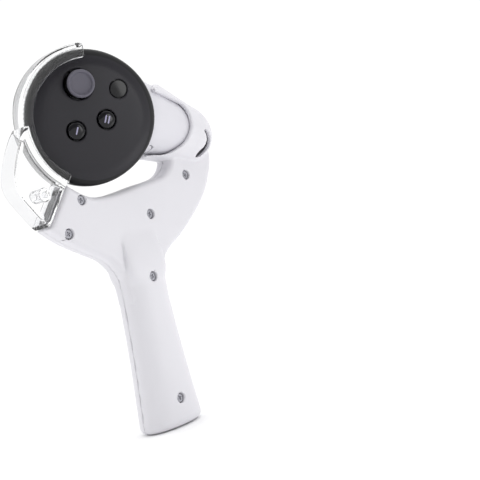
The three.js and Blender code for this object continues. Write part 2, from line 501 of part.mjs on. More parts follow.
// ================================================================= CLEAR GUARD
const SECTION = [[27.8, 3.6], [32.7, 3.6], [32.7, -8.2], [31.6, -8.2], [31.6, -9.8], [33.8, -9.8], [GUARD_R, -8.7], [GUARD_R, 3.8], [33.7, 5.2], [28.3, 5.2]];
const arcRings = [];
for (let a = -80; a <= 70.01; a += 7.5) {
  const t = (a * Math.PI) / 180;
  arcRings.push(SECTION.map(([rho, n]) => V(rho * Math.sin(t), rho * Math.cos(t), n).applyMatrix4(headMatrix)));
}
const guardArc = toSolid(sectionLoft(arcRings));
const BRACKET = [
  [-50.6, 149.6], [-53.4, 146.2], [-57.2, 140.4], [-59.7, 135.6], [-61.6, 131.3], [-62.9, 126.7], [-62.8, 122.4], [-61.2, 118.4],
  [-57.8, 113.2], [-54.6, 108.6], [-51.9, 105.0], [-50.4, 103.4], [-47.9, 105.0], [-39.6, 115.6], [-35.9, 120.2], [-32.4, 122.4], [-32, 126], [-35, 133], [-38, 142], [-42, 149.6],
];
const rimColumn = toSolid(toGeometry(turnedN([[0, -40], [36.3, -40], [36.3, 40], [0, 40]], 48)), headMatrix);
const pocket = slabXZ(inset(BRACKET, 2.0), -4.4, 8).subtract(rimColumn);
const bracketBox = slabXZ(BRACKET, -6.2, 6.2, 1.6, 1).subtract(pocket);
const headClear = turnedN([[0, -40], [32.7, -40], [32.7, 3.6], [31.9, 5.2], [31.9, 40], [0, 40]], 48).subtract(
  turnedN([[27.8, 3.6], [32.7, 3.6], [31.9, 5.2], [28.3, 5.2], [27.8, 3.6]], 48),
);
const headClearWorld = toSolid(toGeometry(headClear), headMatrix);
const tongue = slabXZ([onArm(4.6, 3), onArm(4.6, -7), onArm(21.6, -7), onArm(21.6, 3)], -2.6, 2.6);
const boss = ringY(V(-48.4, -5, 118.2), V(0, 1, 0), 1.6, 3.0, 8.4, 16);
const armKeepOut = slabXZ([onArm(-20, 0), onArm(-20, -30), onArm(25.6, -30), onArm(25.6, 0)], -20, 20);
let clearGuard = bracketBox.subtract(headClearWorld).add(boss).add(guardArc).subtract(armKeepOut).add(tongue);
clearGuard = clearGuard.subtract(rod(V(-48.4, -4.2, 118.2), V(0, 1, 0), 1.5, 12, 12));
for (const [x, z] of SCREWS) clearGuard = clearGuard.subtract(rod(V(x, -9, z), V(0, 1, 0), 4.0, 18, 14));


// ================================================================= ASSEMBLY
const controller = new THREE.Group();
controller.applyMatrix4(headMatrix);
controller.add(
  piece("face_plate", facePlate, FACE, 0.6),
  piece("head_housing", headHousing, BOWL, 0.5),
  piece("grip_shell", gripShell, WHITE, 0.45),
  piece("battery_door", door, WHITE, 0.45),
  piece("battery_cradle", batteryCradle, 0x3a3a40, 0.6),
  piece("battery_cell", batteryCell, 0x77797f, 0.4, 0.3),
  piece("battery_contact_spring", contactSpring, 0xb9bcc2, 0.3, 1),
  piece("battery_contact_plate", contactPlate, 0xb9bcc2, 0.3, 1),
  piece("thumbstick_cap", thumbstickCap, STICK_GREY, 0.7),
  piece("stick_stem", stickStem, 0x2f2f33, 0.5),
  piece("stick_gimbal_ring", gimbalRing, 0x8d8f96, 0.4, 0.6),
  piece("stick_carriage", stickCarriage, 0x3c3c42, 0.5),
  piece("stick_module_base", stickBase, 0x25252a, 0.5),
  piece("upper_button_cap", buttonCap(UPPER), BUTTON, 0.15),
  piece("lower_button_cap", buttonCap(LOWER), BUTTON, 0.15),
  piece("menu_button", menuButton, BUTTON, 0.2),
  piece("button_dome_mat", domeMat, 0x6d6f75, 0.8),
  piece("main_board", mainBoard, 0x1f4f3a, 0.5),
  piece("tracking_led_strip", ledStrip, 0x6b4a22, 0.5),
  piece("haptic_motor", hapticMotor, 0x9a9ca2, 0.35, 1),
  piece("board_screw_1", boardScrew(-18, -14), STEEL, 0.35, 1),
  piece("board_screw_2", boardScrew(-6, 22.5), STEEL, 0.35, 1),
  piece("board_screw_3", boardScrew(16, 19.2), STEEL, 0.35, 1),
  piece("trigger", trigger, 0x2d2d32, 0.45),
  piece("trigger_pin", triggerPin, STEEL, 0.3, 1),
  piece("trigger_spring", triggerSpring, STEEL, 0.3, 1),
  piece("trigger_sensor_board", triggerSensor, 0x1f4f3a, 0.5),
  piece("grip_button", gripButton, 0xd9d8dd, 0.45),
  piece("grip_button_pin", gripButtonPin, STEEL, 0.3, 1),
  piece("grip_button_spring", gripButtonSpring, STEEL, 0.3, 1),
);

const adapter = new THREE.Group();
adapter.add(
  piece("front_shell", frontShell, WHITE, 0.45),
  piece("rear_shell", rearShell, WHITE, 0.45),
  piece("clear_guard", clearGuard, CLEAR, 0.05),
);
SCREWS.forEach(([x, z, yf], i) => adapter.add(piece("shell_screw_" + (i + 1), screw(x, yf + 1.1, z, -yf + 1.6), STEEL, 0.4, 0.8)));

const group = new THREE.Group();
group.add(adapter, controller);
group.position.z = BUTT; // the butt face lies on z = 0
export default group;
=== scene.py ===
"""Looks for the motion controller seated in its racket-handle adapter.

Shapes are written as signed distances in millimetres in the CAD frame, and turned into meshes by dual contouring.
"""

import math

import bpy
import numpy as np
from mathutils import Matrix, Vector


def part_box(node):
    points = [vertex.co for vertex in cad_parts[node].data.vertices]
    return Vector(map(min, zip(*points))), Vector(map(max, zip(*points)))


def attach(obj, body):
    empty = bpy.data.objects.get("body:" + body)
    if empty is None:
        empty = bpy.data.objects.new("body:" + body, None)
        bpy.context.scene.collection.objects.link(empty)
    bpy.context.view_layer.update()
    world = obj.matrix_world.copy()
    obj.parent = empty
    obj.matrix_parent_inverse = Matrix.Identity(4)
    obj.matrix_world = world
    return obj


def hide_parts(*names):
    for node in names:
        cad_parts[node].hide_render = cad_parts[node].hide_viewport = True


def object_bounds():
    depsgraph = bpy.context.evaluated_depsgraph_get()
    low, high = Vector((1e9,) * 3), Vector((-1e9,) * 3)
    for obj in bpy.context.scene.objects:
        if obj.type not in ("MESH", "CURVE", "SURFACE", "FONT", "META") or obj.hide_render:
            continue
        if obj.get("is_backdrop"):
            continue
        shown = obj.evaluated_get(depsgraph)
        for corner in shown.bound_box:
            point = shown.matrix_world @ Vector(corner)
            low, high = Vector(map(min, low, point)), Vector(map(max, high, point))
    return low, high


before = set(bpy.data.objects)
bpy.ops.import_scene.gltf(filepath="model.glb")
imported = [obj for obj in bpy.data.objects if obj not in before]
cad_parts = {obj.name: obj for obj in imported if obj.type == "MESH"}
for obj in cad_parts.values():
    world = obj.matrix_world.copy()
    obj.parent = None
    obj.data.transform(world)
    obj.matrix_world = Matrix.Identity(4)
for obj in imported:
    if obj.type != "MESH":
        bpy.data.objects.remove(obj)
CAD_LO, CAD_HI = (tuple(v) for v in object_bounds())
ROOT = "adapter_and_controller"
DRAFT = 1.0  # coarser meshes while trying things
F = np.float32

# ------------------------------------------------------------------ camera
AZ, EL, ROLL = math.radians(-48), math.radians(2), math.radians(12.4)
right0 = Vector((math.cos(AZ), math.sin(AZ), 0))
back = Vector((math.sin(AZ) * math.cos(EL), -math.cos(AZ) * math.cos(EL), math.sin(EL)))
up0 = back.cross(right0)
right = right0 * math.cos(ROLL) - up0 * math.sin(ROLL)
up = right0 * math.sin(ROLL) + up0 * math.cos(ROLL)
cam_data = bpy.data.cameras.new("camera")
cam_data.lens, cam_data.sensor_width = 73.47, 36
cam_data.clip_start, cam_data.clip_end = 0.01, 50
cam = bpy.data.objects.new("camera", cam_data)
bpy.context.scene.collection.objects.link(cam)
m = Matrix((right, up, back)).transposed().to_4x4()
m.translation = Vector((-0.31976, -0.35769, 0.09801))
cam.matrix_world = m
bpy.context.scene.camera = cam


# ------------------------------------------------------------------ distance kit
def rint(a, b, r):
    """Both a and b, with a rounded edge of radius r."""
    return np.minimum(-r, np.maximum(a, b)) + np.hypot(np.maximum(a + r, 0), np.maximum(b + r, 0))


def runi(a, b, r):
    """Either a or b, with a hollow fillet of radius r."""
    return np.maximum(r, np.minimum(a, b)) - np.hypot(np.maximum(r - a, 0), np.maximum(r - b, 0))


def smin(a, b, k):
    h = np.clip(0.5 + 0.5 * (b - a) / k, 0, 1)
    return b + (a - b) * h - k * h * (1 - h)


def smax(a, b, k):
    return -smin(-a, -b, k)


def step01(t):
    t = np.clip(t, 0, 1)
    return t * t * (3 - 2 * t)


def curve(points, per=6, closed=True, sharp=()):
    """A smooth line through the points, with corners kept at the indices in sharp."""
    p = np.array(points, float)
    n = len(p)
    out = []
    for i in range(n if closed else n - 1):
        p1, p2 = p[i], p[(i + 1) % n]
        p0 = p[(i - 1) % n] if closed or i else p1
        p3 = p[(i + 2) % n] if closed or i + 2 < n else p2
        if i in sharp:
            p0 = p1 - (p2 - p1)
        if (i + 1) % n in sharp:
            p3 = p2 + (p2 - p1)
        d1 = max(np.linalg.norm(p1 - p0), 1e-6) ** 0.5
        d2 = max(np.linalg.norm(p2 - p1), 1e-6) ** 0.5
        d3 = max(np.linalg.norm(p3 - p2), 1e-6) ** 0.5
        m1 = (p2 - p1) + d2 * ((p1 - p0) / d1 - (p2 - p0) / (d1 + d2))
        m2 = (p2 - p1) + d2 * ((p3 - p2) / d3 - (p3 - p1) / (d2 + d3))
        for t in np.arange(per) / per:
            out.append(
                (2 * t**3 - 3 * t**2 + 1) * p1 + (t**3 - 2 * t**2 + t) * m1 + (-2 * t**3 + 3 * t**2) * p2 + (t**3 - t**2) * m2
            )
    if not closed:
        out.append(p[-1])
    return np.array(out)


def poly_distance(x, z, pts):
    best = np.full(x.shape, 1e9, F)
    sign = np.ones(x.shape, F)
    for i in range(len(pts)):
        ax, az = pts[i]
        bx, bz = pts[i - 1]
        ex, ez = bx - ax, bz - az
        if ex * ex + ez * ez < 1e-12:
            continue
        wx, wz = x - ax, z - az
        t = np.clip((wx * ex + wz * ez) / (ex * ex + ez * ez), 0, 1)
        best = np.minimum(best, (wx - ex * t) ** 2 + (wz - ez * t) ** 2)
        c1, c2, c3 = z >= az, z < bz, ex * wz > ez * wx
        sign = np.where((c1 & c2 & c3) | (~c1 & ~c2 & ~c3), -sign, sign)
    return sign * np.sqrt(best)


class Outline:
    """Signed distance to a closed 2-D outline, from a fine table."""

    def __init__(self, pts, step=0.2, pad=8):
        pts = np.asarray(pts, float)
        self.step, self.lo = step, pts.min(0) - pad
        n = np.ceil((pts.max(0) + pad - self.lo) / step).astype(int) + 1
        gx, gz = np.meshgrid(self.lo[0] + step * np.arange(n[0]), self.lo[1] + step * np.arange(n[1]), indexing="ij")
        self.v, self.n = poly_distance(gx.astype(F), gz.astype(F), pts), n

    def __call__(self, x, z):
        fx = np.clip((x - self.lo[0]) / self.step, 0, self.n[0] - 1.001)
        fz = np.clip((z - self.lo[1]) / self.step, 0, self.n[1] - 1.001)
        i, j = fx.astype(np.int32), fz.astype(np.int32)
        tx, tz = fx - i, fz - j
        v = self.v
        d = (v[i, j] * (1 - tx) + v[i + 1, j] * tx) * (1 - tz) + (v[i, j + 1] * (1 - tx) + v[i + 1, j + 1] * tx) * tz
        return d + np.hypot((x - self.lo[0]) / self.step - fx, (z - self.lo[1]) / self.step - fz) * self.step


def rod(x, y, z, o, a, r, length):
    """Cylinder from o along the unit vector a."""
    dx, dy, dz = x - o[0], y - o[1], z - o[2]
    t = dx * a[0] + dy * a[1] + dz * a[2]
    rho = np.sqrt(np.maximum(dx * dx + dy * dy + dz * dz - t * t, 0))
    return np.maximum(rho - r, np.abs(t - length / 2) - length / 2)


def contour(f, lo, hi, h):
    """Dual contouring of f < 0. Returns vertices, quads and normals."""
    h = h * DRAFT
    lo, hi = np.array(lo, float), np.array(hi, float)
    C = 4
    nc = np.ceil((hi - lo) / (h * C)).astype(int)
    ax = [lo[k] + h * C * (np.arange(nc[k]) + 0.5) for k in range(3)]
    g = np.meshgrid(*ax, indexing="ij")
    fc = f(*(a.astype(F) for a in g))
    near = np.abs(fc) < h * C * 1.6
    n = nc * C + 1
    mask = np.zeros(n, bool)
    rep = near.repeat(C, 0).repeat(C, 1).repeat(C, 2)
    for dx in (0, 1):
        for dy in (0, 1):
            for dz in (0, 1):
                mask[dx : dx + nc[0] * C, dy : dy + nc[1] * C, dz : dz + nc[2] * C] |= rep
    V = np.full(n, 9.0, F)
    inside = (fc < 0).repeat(C, 0).repeat(C, 1).repeat(C, 2)
    V[:-1, :-1, :-1][inside] = -9.0
    idx = np.argwhere(mask)
    pos = lo + idx * h
    V[mask] = f(*(pos[:, k].astype(F) for k in range(3)))
    V[V == 0] = 1e-6
    S = V < 0
    pts, cells, flips = [], [], []
    N1, N2 = int(n[1]), int(n[2])
    for k in range(3):
        a = [slice(None)] * 3
        b = [slice(None)] * 3
        a[k], b[k] = slice(0, -1), slice(1, None)
        cross = S[tuple(a)] != S[tuple(b)]
        cross &= mask[tuple(a)] & mask[tuple(b)]
        e = np.argwhere(cross)
        i2, i3 = (k + 1) % 3, (k + 2) % 3
        ok = (e[:, i2] > 0) & (e[:, i2] < n[i2] - 1) & (e[:, i3] > 0) & (e[:, i3] < n[i3] - 1)
        e = e[ok]
        if not len(e):
            continue
        e2 = e.copy()
        e2[:, k] += 1
        v0, v1 = V[tuple(e.T)].astype(float), V[tuple(e2.T)].astype(float)
        p = lo + e * h
        p[:, k] += h * v0 / (v0 - v1)
        quad = []
        for d2, d3 in ((0, 0), (-1, 0), (-1, -1), (0, -1)):
            c = e.copy()
            c[:, i2] += d2
            c[:, i3] += d3
            quad.append((c[:, 0] * N1 + c[:, 1]) * N2 + c[:, 2])
        pts.append(p)
        cells.append(np.stack(quad, 1))
        flips.append(v0 > 0)
    pts, cells, flips = np.concatenate(pts), np.concatenate(cells), np.concatenate(flips)
    eps = h * 0.12
    nrm = gradient(f, pts, eps)
    ids, inv = np.unique(cells.ravel(), return_inverse=True)
    inv = inv.reshape(cells.shape)
    flat, m_ = inv.ravel(), len(ids)
    P, Nn = pts.repeat(4, 0), nrm.repeat(4, 0)
    cnt = np.bincount(flat, minlength=m_).astype(float)
    mass = np.stack([np.bincount(flat, P[:, k], m_) for k in range(3)], 1) / cnt[:, None]
    rel = P - mass[flat]
    b = (rel * Nn).sum(1)
    A = np.zeros((m_, 3, 3))
    B = np.zeros((m_, 3))
    for r_ in range(3):
        B[:, r_] = np.bincount(flat, Nn[:, r_] * b, m_)
        for c_ in range(r_, 3):
            A[:, r_, c_] = A[:, c_, r_] = np.bincount(flat, Nn[:, r_] * Nn[:, c_], m_)
    A += np.eye(3) * (0.06 * cnt)[:, None, None]
    x = np.linalg.solve(A, B[:, :, None])[:, :, 0]
    cell = np.stack([ids // (N1 * N2), (ids // N2) % N1, ids % N2], 1)
    centre = lo + (cell + 0.5) * h
    v = np.clip(mass + x, centre - 0.62 * h, centre + 0.62 * h)
    quads = np.where(flips[:, None], inv[:, ::-1], inv)
    return v, quads, gradient(f, v, eps)


def gradient(f, p, eps):
    g = np.zeros_like(p)
    for k in ((1, -1, -1), (-1, -1, 1), (-1, 1, -1), (1, 1, 1)):
        q = p + np.array(k) * eps
        g += np.array(k) * f(*(q[:, j].astype(F) for j in range(3)))[:, None]
    return g / np.maximum(np.linalg.norm(g, axis=1, keepdims=True), 1e-9)


def to_object(name, v, quads, normals=None, body=ROOT, node=None, material=None, slot=None, world=True):
    """A mesh piece from vertices in millimetres."""
    mesh = bpy.data.meshes.new(name)
    v = np.asarray(v, float) / 1000
    quads = np.asarray(quads)
    mesh.vertices.add(len(v))
    mesh.vertices.foreach_set("co", v.astype(np.float32).ravel())
    k = quads.shape[1]
    mesh.loops.add(len(quads) * k)
    mesh.loops.foreach_set("vertex_index", quads.astype(np.int32).ravel())
    mesh.polygons.add(len(quads))
    mesh.polygons.foreach_set("loop_start", (np.arange(len(quads)) * k).astype(np.int32))
    mesh.polygons.foreach_set("use_smooth", np.ones(len(quads), bool))
    mesh.update(calc_edges=True)
    mesh.validate()
    if normals is not None:
        mesh.normals_split_custom_set_from_vertices([tuple(q) for q in normals])
    return add(name, mesh, body, node, material)


def add(name, mesh, body, node=None, material=None):
    o = bpy.data.objects.new(name, mesh)
    bpy.context.scene.collection.objects.link(o)
    if material:
        mesh.materials.append(material)
    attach(o, body)
    if node:
        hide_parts(*([node] if isinstance(node, str) else node))
    return o


# ------------------------------------------------------------------ frames
B = 2.9
HEAD = np.array([-15.9, -9.0, 149.5 + B])
fn = np.array([-0.4, -0.91, -0.12])
fn /= np.linalg.norm(fn)
fr = np.cross([-0.865, 0.331, 0.377], fn)
fr /= np.linalg.norm(fr)
fu = np.cross(fn, fr)
HEAD_ROWS = np.stack([fr, fu, fn])


def to_head(x, y, z):
    dx, dy, dz = x - F(HEAD[0]), y - F(HEAD[1]), z - F(HEAD[2])
    return tuple(dx * F(a[0]) + dy * F(a[1]) + dz * F(a[2]) for a in (fr, fu, fn))


def from_head(v):
    return HEAD + np.asarray(v) @ HEAD_ROWS


SLOPE = math.radians(21.3)
CUP = np.array([30, 0, 145 + B])
cd = np.array([math.cos(SLOPE), 0, -math.sin(SLOPE)])
cu = np.array([math.sin(SLOPE), 0, math.cos(SLOPE)])
gup = fr - (fr @ cd) * cd
gup /= np.linalg.norm(gup)
gfr = np.cross(gup, cd)
if gfr @ fn < 0:
    gfr = -gfr


def on_cup(x, y, z):
    """(along the cup, distance from its axis)"""
    dx, dz = x - F(CUP[0]), z - F(CUP[2])
    s = dx * F(cd[0]) + dz * F(cd[2])
    t = dx * F(cu[0]) + dz * F(cu[2])
    return s, np.hypot(y, t)


# ------------------------------------------------------------------ adapter shells
HZ = [0, 2.9, 17.9, 32.9, 47.9, 62.9, 72.9, 80.9, 87.9, 93.9, 99, 104]
HA = [18.1, 18.0, 16.5, 15.0, 13.9, 13.1, 12.7, 12.3, 11.8, 11.2, 10.6, 10.0]
HB = [10.7, 10.6, 10.4, 10.2, 10.1, 10.0, 9.9, 9.5, 8.2, 6.5, 5.5, 5.2]
HC = [0, 0, 0, 0, 0, 0, 1.4, 3.4, 4.6, 4.8, 4.6, 4.4]
zz = np.linspace(0, 104, 521)


def dense(values):
    pts = curve(list(zip(HZ, values)), 12, closed=False)
    return np.interp(zz, pts[:, 0], pts[:, 1])


HAd, HBd, HCd = dense(HA), dense(HB), np.maximum(dense(HC), 0)


def oval(x, y, z, less=0.0):
    e = 2.2 + 3.4 * step01((z - F(70)) / F(12))
    a = np.interp(z, zz, HAd).astype(F) - F(less)
    b = np.interp(z, zz, HBd).astype(F) - F(less)
    c = np.interp(z, zz, HCd).astype(F)
    bb = np.maximum(b - c, 0.6)
    X, Y = np.abs(x) / a + 1e-4, np.maximum(np.abs(y) - c, 0) / bb + 1e-4
    f = (X**e + Y**e) ** (1 / e)
    g = np.hypot((X / f) ** (e - 1) / a, (Y / f) ** (e - 1) / bb)
    return np.maximum((f - 1) / g, -a)


PLATE = [
    [-12.6, 60], [12.6, 60], [12.8, 66], [13.3, 71.5], [14.8, 76.3], [17.4, 79.8], [21.8, 82.8], [29.4, 86.8], [38, 92.6],
    [46.8, 99.5], [54.0, 106.5], [59.1, 114.2], [62.3, 121], [63.6, 128.5], [50, 130], [33.8, 130], [33.0, 125.5], [30.8, 121.8],
    [27.8, 119.4], [24.2, 117.8], [16.8, 116.6], [8.2, 115.7], [-2.3, 114.2], [-14.2, 113.1], [-21.4, 113.5], [-26.2, 115.3],
    [-30.6, 117.9], [-35.0, 121.0], [-50.4, 102.6], [-44.4, 97.6], [-37.6, 93.0], [-28.0, 87.6], [-20.6, 83.3], [-16.2, 78.4],
    [-13.6, 73.2], [-12.7, 67],
]
plate2 = Outline(curve(PLATE, 6, sharp=(0, 1, 13, 14, 15, 27, 28)) + [0, B])


def plate(x, y, z, less=0.0):
    d = plate2(x, z) + F(less)
    return rint(d, np.abs(y) - F(6 - less), 2.8 if not less else 0.8)


CUP_R0, TAPER, DOME, END, WALL = 18.9, 0.151, 20.0, 38.5, 2.1


def cup(x, y, z, less=0.0):
    s, rho = on_cup(x, y, z)
    re, ln = CUP_R0 - TAPER * DOME - less, END - less - DOME
    cone = (rho - (CUP_R0 - less) + TAPER * s) * F(0.9888)
    k0 = np.hypot(rho / re, (s - DOME) / ln)
    k1 = np.hypot(rho / re**2, (s - DOME) / ln**2)
    return np.where(s < DOME, cone, k0 * (k0 - 1) / np.maximum(k1, 1e-4))


WINDOW = [
    [-8, 167], [8, 162], [18.5, 158.6], [28.4, 155.7], [38.2, 152.6], [41.5, 151.1], [42.7, 149], [43, 146.3], [43, 143.8],
    [42.8, 141.4], [42.3, 139.3], [41.3, 137.1], [39.9, 134.8], [38.4, 132.8], [36.8, 131.3], [34.5, 130], [32.6, 129.1],
    [30.8, 128.5], [28, 128.3], [24, 128.8], [18, 129.6], [-8, 133],
]
window2 = Outline(curve(WINDOW, 5, sharp=(0, 21)) + [0, B])
END_F = Outline(np.array([[-30, 100], [19, 100], [19, 131], [14, 158], [34, 164.5], [34, 190], [-30, 190]]) + [0, B], 0.4)
END_R = Outline(np.array([[-30, 100], [19, 100], [19.5, 131], [25, 150], [34, 160], [34, 190], [-30, 190]]) + [0, B], 0.4)
SLOT = [[51.9, 136.4], [54.2, 137], [57.6, 133.2], [58, 129.4], [55.2, 126.4], [51.2, 124.2], [48.2, 124.6], [48.6, 126.4], [51.6, 128.4], [53.3, 131], [53.2, 133.6]]
slot2 = Outline(curve(SLOT, 5) + [0, B], 0.1)
SCREWS = [[-29.1, 113.0, -6], [-40.4, 98.9, -6], [11.2, 100.3, -6], [41.2, 116.3, -6], [0.4, 70.6, -9.9], [0.1, 10.4, -10.5]]
GU, GO, GL = np.array([0.638, 0.77]), np.array([-0.77, 0.638]), np.array([-51.1, 102.5 + B])


def arm_box(x, z, a0, a1, b0, b1):
    a = (x - F(GL[0])) * F(GU[0]) + (z - F(GL[1])) * F(GU[1])
    b = (x - F(GL[0])) * F(GO[0]) + (z - F(GL[1])) * F(GO[1])
    return np.maximum(np.abs(a - (a0 + a1) / 2) - (a1 - a0) / 2, np.abs(b - (b0 + b1) / 2) - (b1 - b0) / 2)


def cradle(x, y, z):
    d = np.maximum(cup(x, y, z), -15 - on_cup(x, y, z)[0])
    win = np.maximum(window2(x, z), y + 1.2)
    d = rint(d, -win, 1.25)
    d = rint(d, -np.maximum(END_F(x, z), y), 0.9)
    d = rint(d, -np.maximum(END_R(x, z), -y), 0.9)
    snug = WALL + 0.28 * step01((-y - 7) / 4) * (1 - step01((on_cup(x, y, z)[0] - 1) / 11))  # close to the grip at the front only
    return rint(d, -(cup(x, y, z) + snug), 0.15)


def adapter(x, y, z):
    """Both shells as one skin, hollow, before they are parted."""
    bar = rint(oval(x, y, z), -z, 3.4)
    pl = plate(x, y, z)
    skin = runi(np.maximum(bar, z - 101), pl, 0.5)
    arms = rint(skin, arm_box(x, z, -8, 40, 0.3, 12) * -1, 0.6)
    inner = np.minimum(np.maximum(np.maximum(oval(x, y, z, 2.3), 2.3 - z), z - 88), np.maximum(plate(x, y, z, 2.2), -cup(x, y, z)))
    inner = np.minimum(inner, np.maximum(arm_box(x, z, 3.6, 22.6, -8, 6), np.abs(y) - 3.2))
    body = rint(arms, -inner, 0.3)
    for sx, sz, yf in SCREWS:
        body = np.minimum(body, np.maximum(np.hypot(x - sx, z - (sz + B)) - 3.6, np.maximum(np.abs(y) + yf + 0.8, arms)))
    body = rint(body, -cup(x, y, z, WALL), 0.4)
    return runi(body, cradle(x, y, z), 0.9)


def front_shell(x, y, z):
    d = adapter(x, y, z)
    d = rint(d, -np.maximum(slot2(x, z), y + 1.2), 0.5)
    for sx, sz, yf in SCREWS:
        rr = np.hypot(x - sx, z - (sz + B))
        d = rint(d, -np.maximum(rr - 2.5, y - (yf + 3.0)), 0.3)
        d = np.maximum(d, -(rr - 1.6))
    d = rint(d, y + 0.015, 0.02)
    lap = np.maximum(np.maximum(np.abs(x) - 12, np.abs(y - 0.9) - 2.1), np.maximum(z - 1.7, -z))
    return np.minimum(d, np.maximum(lap, rint(oval(x, y, z), -z, 2.0)))


def rear_shell(x, y, z):
    d = adapter(x, y, z)
    for sx, sz, yf in SCREWS:
        d = np.maximum(d, -np.maximum(np.hypot(x - sx, z - (sz + B)) - 1.6, np.maximum(y - 4.2, -1 - y)))
    d = rint(d, 0.015 - y, 0.02)
    return np.maximum(d, -np.maximum(np.maximum(np.abs(x) - 12.3, np.abs(y - 1.5) - 1.8), z - 2.0))


# ------------------------------------------------------------------ materials
def node_material(name, colour, rough, grain=None, bump=0.0, mottle=0.015, rough_var=0.04, coat=0.0, metal=0.0, spec=0.5, sheen=0.0, transmission=0.0, ior=1.5):
    mt = bpy.data.materials.new(name)
    mt.use_nodes = True
    nt = mt.node_tree
    bs = nt.nodes["Principled BSDF"]
    tc = nt.nodes.new("ShaderNodeTexCoord")
    big = nt.nodes.new("ShaderNodeTexNoise")
    big.inputs["Scale"].default_value = 60
    big.inputs["Detail"].default_value = 3
    nt.links.new(tc.outputs["Object"], big.inputs["Vector"])
    ramp = nt.nodes.new("ShaderNodeMix")
    ramp.data_type = "RGBA"
    lo = [max(c * (1 - mottle), 0) for c in colour]
    hi = [min(c * (1 + mottle), 1) for c in colour]
    ramp.inputs["A"].default_value = (*lo, 1)
    ramp.inputs["B"].default_value = (*hi, 1)
    nt.links.new(big.outputs["Fac"], ramp.inputs["Factor"])
    nt.links.new(ramp.outputs["Result"], bs.inputs["Base Color"])
    if grain:
        fine = nt.nodes.new("ShaderNodeTexNoise")
        fine.inputs["Scale"].default_value = grain
        fine.inputs["Detail"].default_value = 4
        fine.inputs["Roughness"].default_value = 0.6
        nt.links.new(tc.outputs["Object"], fine.inputs["Vector"])
        rng = nt.nodes.new("ShaderNodeMapRange")
        rng.inputs["To Min"].default_value = rough - rough_var
        rng.inputs["To Max"].default_value = rough + rough_var
        nt.links.new(fine.outputs["Fac"], rng.inputs["Value"])
        nt.links.new(rng.outputs["Result"], bs.inputs["Roughness"])
        if bump:
            bp = nt.nodes.new("ShaderNodeBump")
            bp.inputs["Strength"].default_value = bump
            bp.inputs["Distance"].default_value = 0.00005
            nt.links.new(fine.outputs["Fac"], bp.inputs["Height"])
            nt.links.new(bp.outputs["Normal"], bs.inputs["Normal"])
    else:
        bs.inputs["Roughness"].default_value = rough
    bs.inputs["Metallic"].default_value = metal
    bs.inputs["IOR"].default_value = ior
    bs.inputs["Specular IOR Level"].default_value = spec
    bs.inputs["Coat Weight"].default_value = coat
    bs.inputs["Transmission Weight"].default_value = transmission
    return mt


def head_value(nt, axis):
    """Distance along one of the head's axes, in metres, for a mesh drawn where it sits."""
    tc = nt.nodes.new("ShaderNodeTexCoord")
    sub = nt.nodes.new("ShaderNodeVectorMath")
    sub.operation = "SUBTRACT"
    sub.inputs[1].default_value = [float(c) / 1000 for c in HEAD]
    nt.links.new(tc.outputs["Object"], sub.inputs[0])
    dot = nt.nodes.new("ShaderNodeVectorMath")
    dot.operation = "DOT_PRODUCT"
    dot.inputs[1].default_value = [float(c) for c in axis]
    nt.links.new(sub.outputs[0], dot.inputs[0])
    return dot.outputs["Value"]


def dark_rim_and_painted_shade(mt, value, a, b, dark):
    """Turns the base colour to dark where value goes from a to b (metres): the face's dark outer rim, and painted shade
    on the undersides of the thumbstick and the buttons.
    """
    nt = mt.node_tree
    bs = nt.nodes["Principled BSDF"]
    old = bs.inputs["Base Color"].links[0].from_socket
    rng = nt.nodes.new("ShaderNodeMapRange")
    rng.inputs["From Min"].default_value = a
    rng.inputs["From Max"].default_value = b
    nt.links.new(value, rng.inputs["Value"])
    mx = nt.nodes.new("ShaderNodeMix")
    mx.data_type = "RGBA"
    mx.inputs["B"].default_value = (*dark, 1)
    nt.links.new(rng.outputs["Result"], mx.inputs["Factor"])
    nt.links.new(old, mx.inputs["A"])
    nt.links.new(mx.outputs["Result"], bs.inputs["Base Color"])
    return mt


def head_radius(nt):
    a, b = head_value(nt, fr), head_value(nt, fu)
    cmb = nt.nodes.new("ShaderNodeCombineXYZ")
    nt.links.new(a, cmb.inputs[0])
    nt.links.new(b, cmb.inputs[1])
    ln = nt.nodes.new("ShaderNodeVectorMath")
    ln.operation = "LENGTH"
    nt.links.new(cmb.outputs[0], ln.inputs[0])
    return ln.outputs["Value"]


def srgb(r, g, b):
    return tuple(((c / 255 + 0.055) / 1.055) ** 2.4 if c > 10 else c / 255 / 12.92 for c in (r, g, b))


WHITE = node_material("adapter_plastic", srgb(222, 221, 226), 0.42, 2600, 0.10, 0.008)
GRIPM = node_material("controller_plastic", srgb(217, 216, 222), 0.38, 3200, 0.06, 0.008)
FACEM = node_material("face_plastic", srgb(38, 37, 42), 0.33, 4200, 0.15, 0.03, 0.05, spec=0.28)
BOWLM = node_material("bowl_plastic", srgb(26, 26, 30), 0.32, 3200, 0.15, 0.03, spec=0.4)
STICKM = node_material("stick_rubber", srgb(92, 90, 101), 0.58, 3800, 0.35, 0.03, 0.06)
GLOSSM = node_material("button_gloss", srgb(14, 14, 18), 0.09, 1200, 0.0, 0.02, 0.02, spec=0.32)
WELLM = node_material("well_plastic", srgb(16, 16, 18), 0.5, 3000, 0.1, 0.02)
MARKM = node_material("button_mark", srgb(158, 155, 182), 0.4, 3000, 0.0, 0.02)
DARKM = node_material("dark_plastic", srgb(48, 48, 54), 0.42, 3200, 0.15, 0.03)
SCREWM = node_material("screw_steel", srgb(166, 166, 173), 0.42, 5200, 0.1, 0.05, 0.08, metal=0.55)
CAPM = node_material("menu_gloss", srgb(12, 12, 14), 0.05, 1200, 0.0, 0.02, 0.01, spec=0.3)
SPRINGM = node_material("spring_steel", srgb(196, 198, 203), 0.26, 5200, 0.05, 0.03, 0.05, metal=1.0)
CANM = node_material("motor_can", srgb(168, 170, 176), 0.3, 5200, 0.08, 0.03, 0.05, metal=1.0)
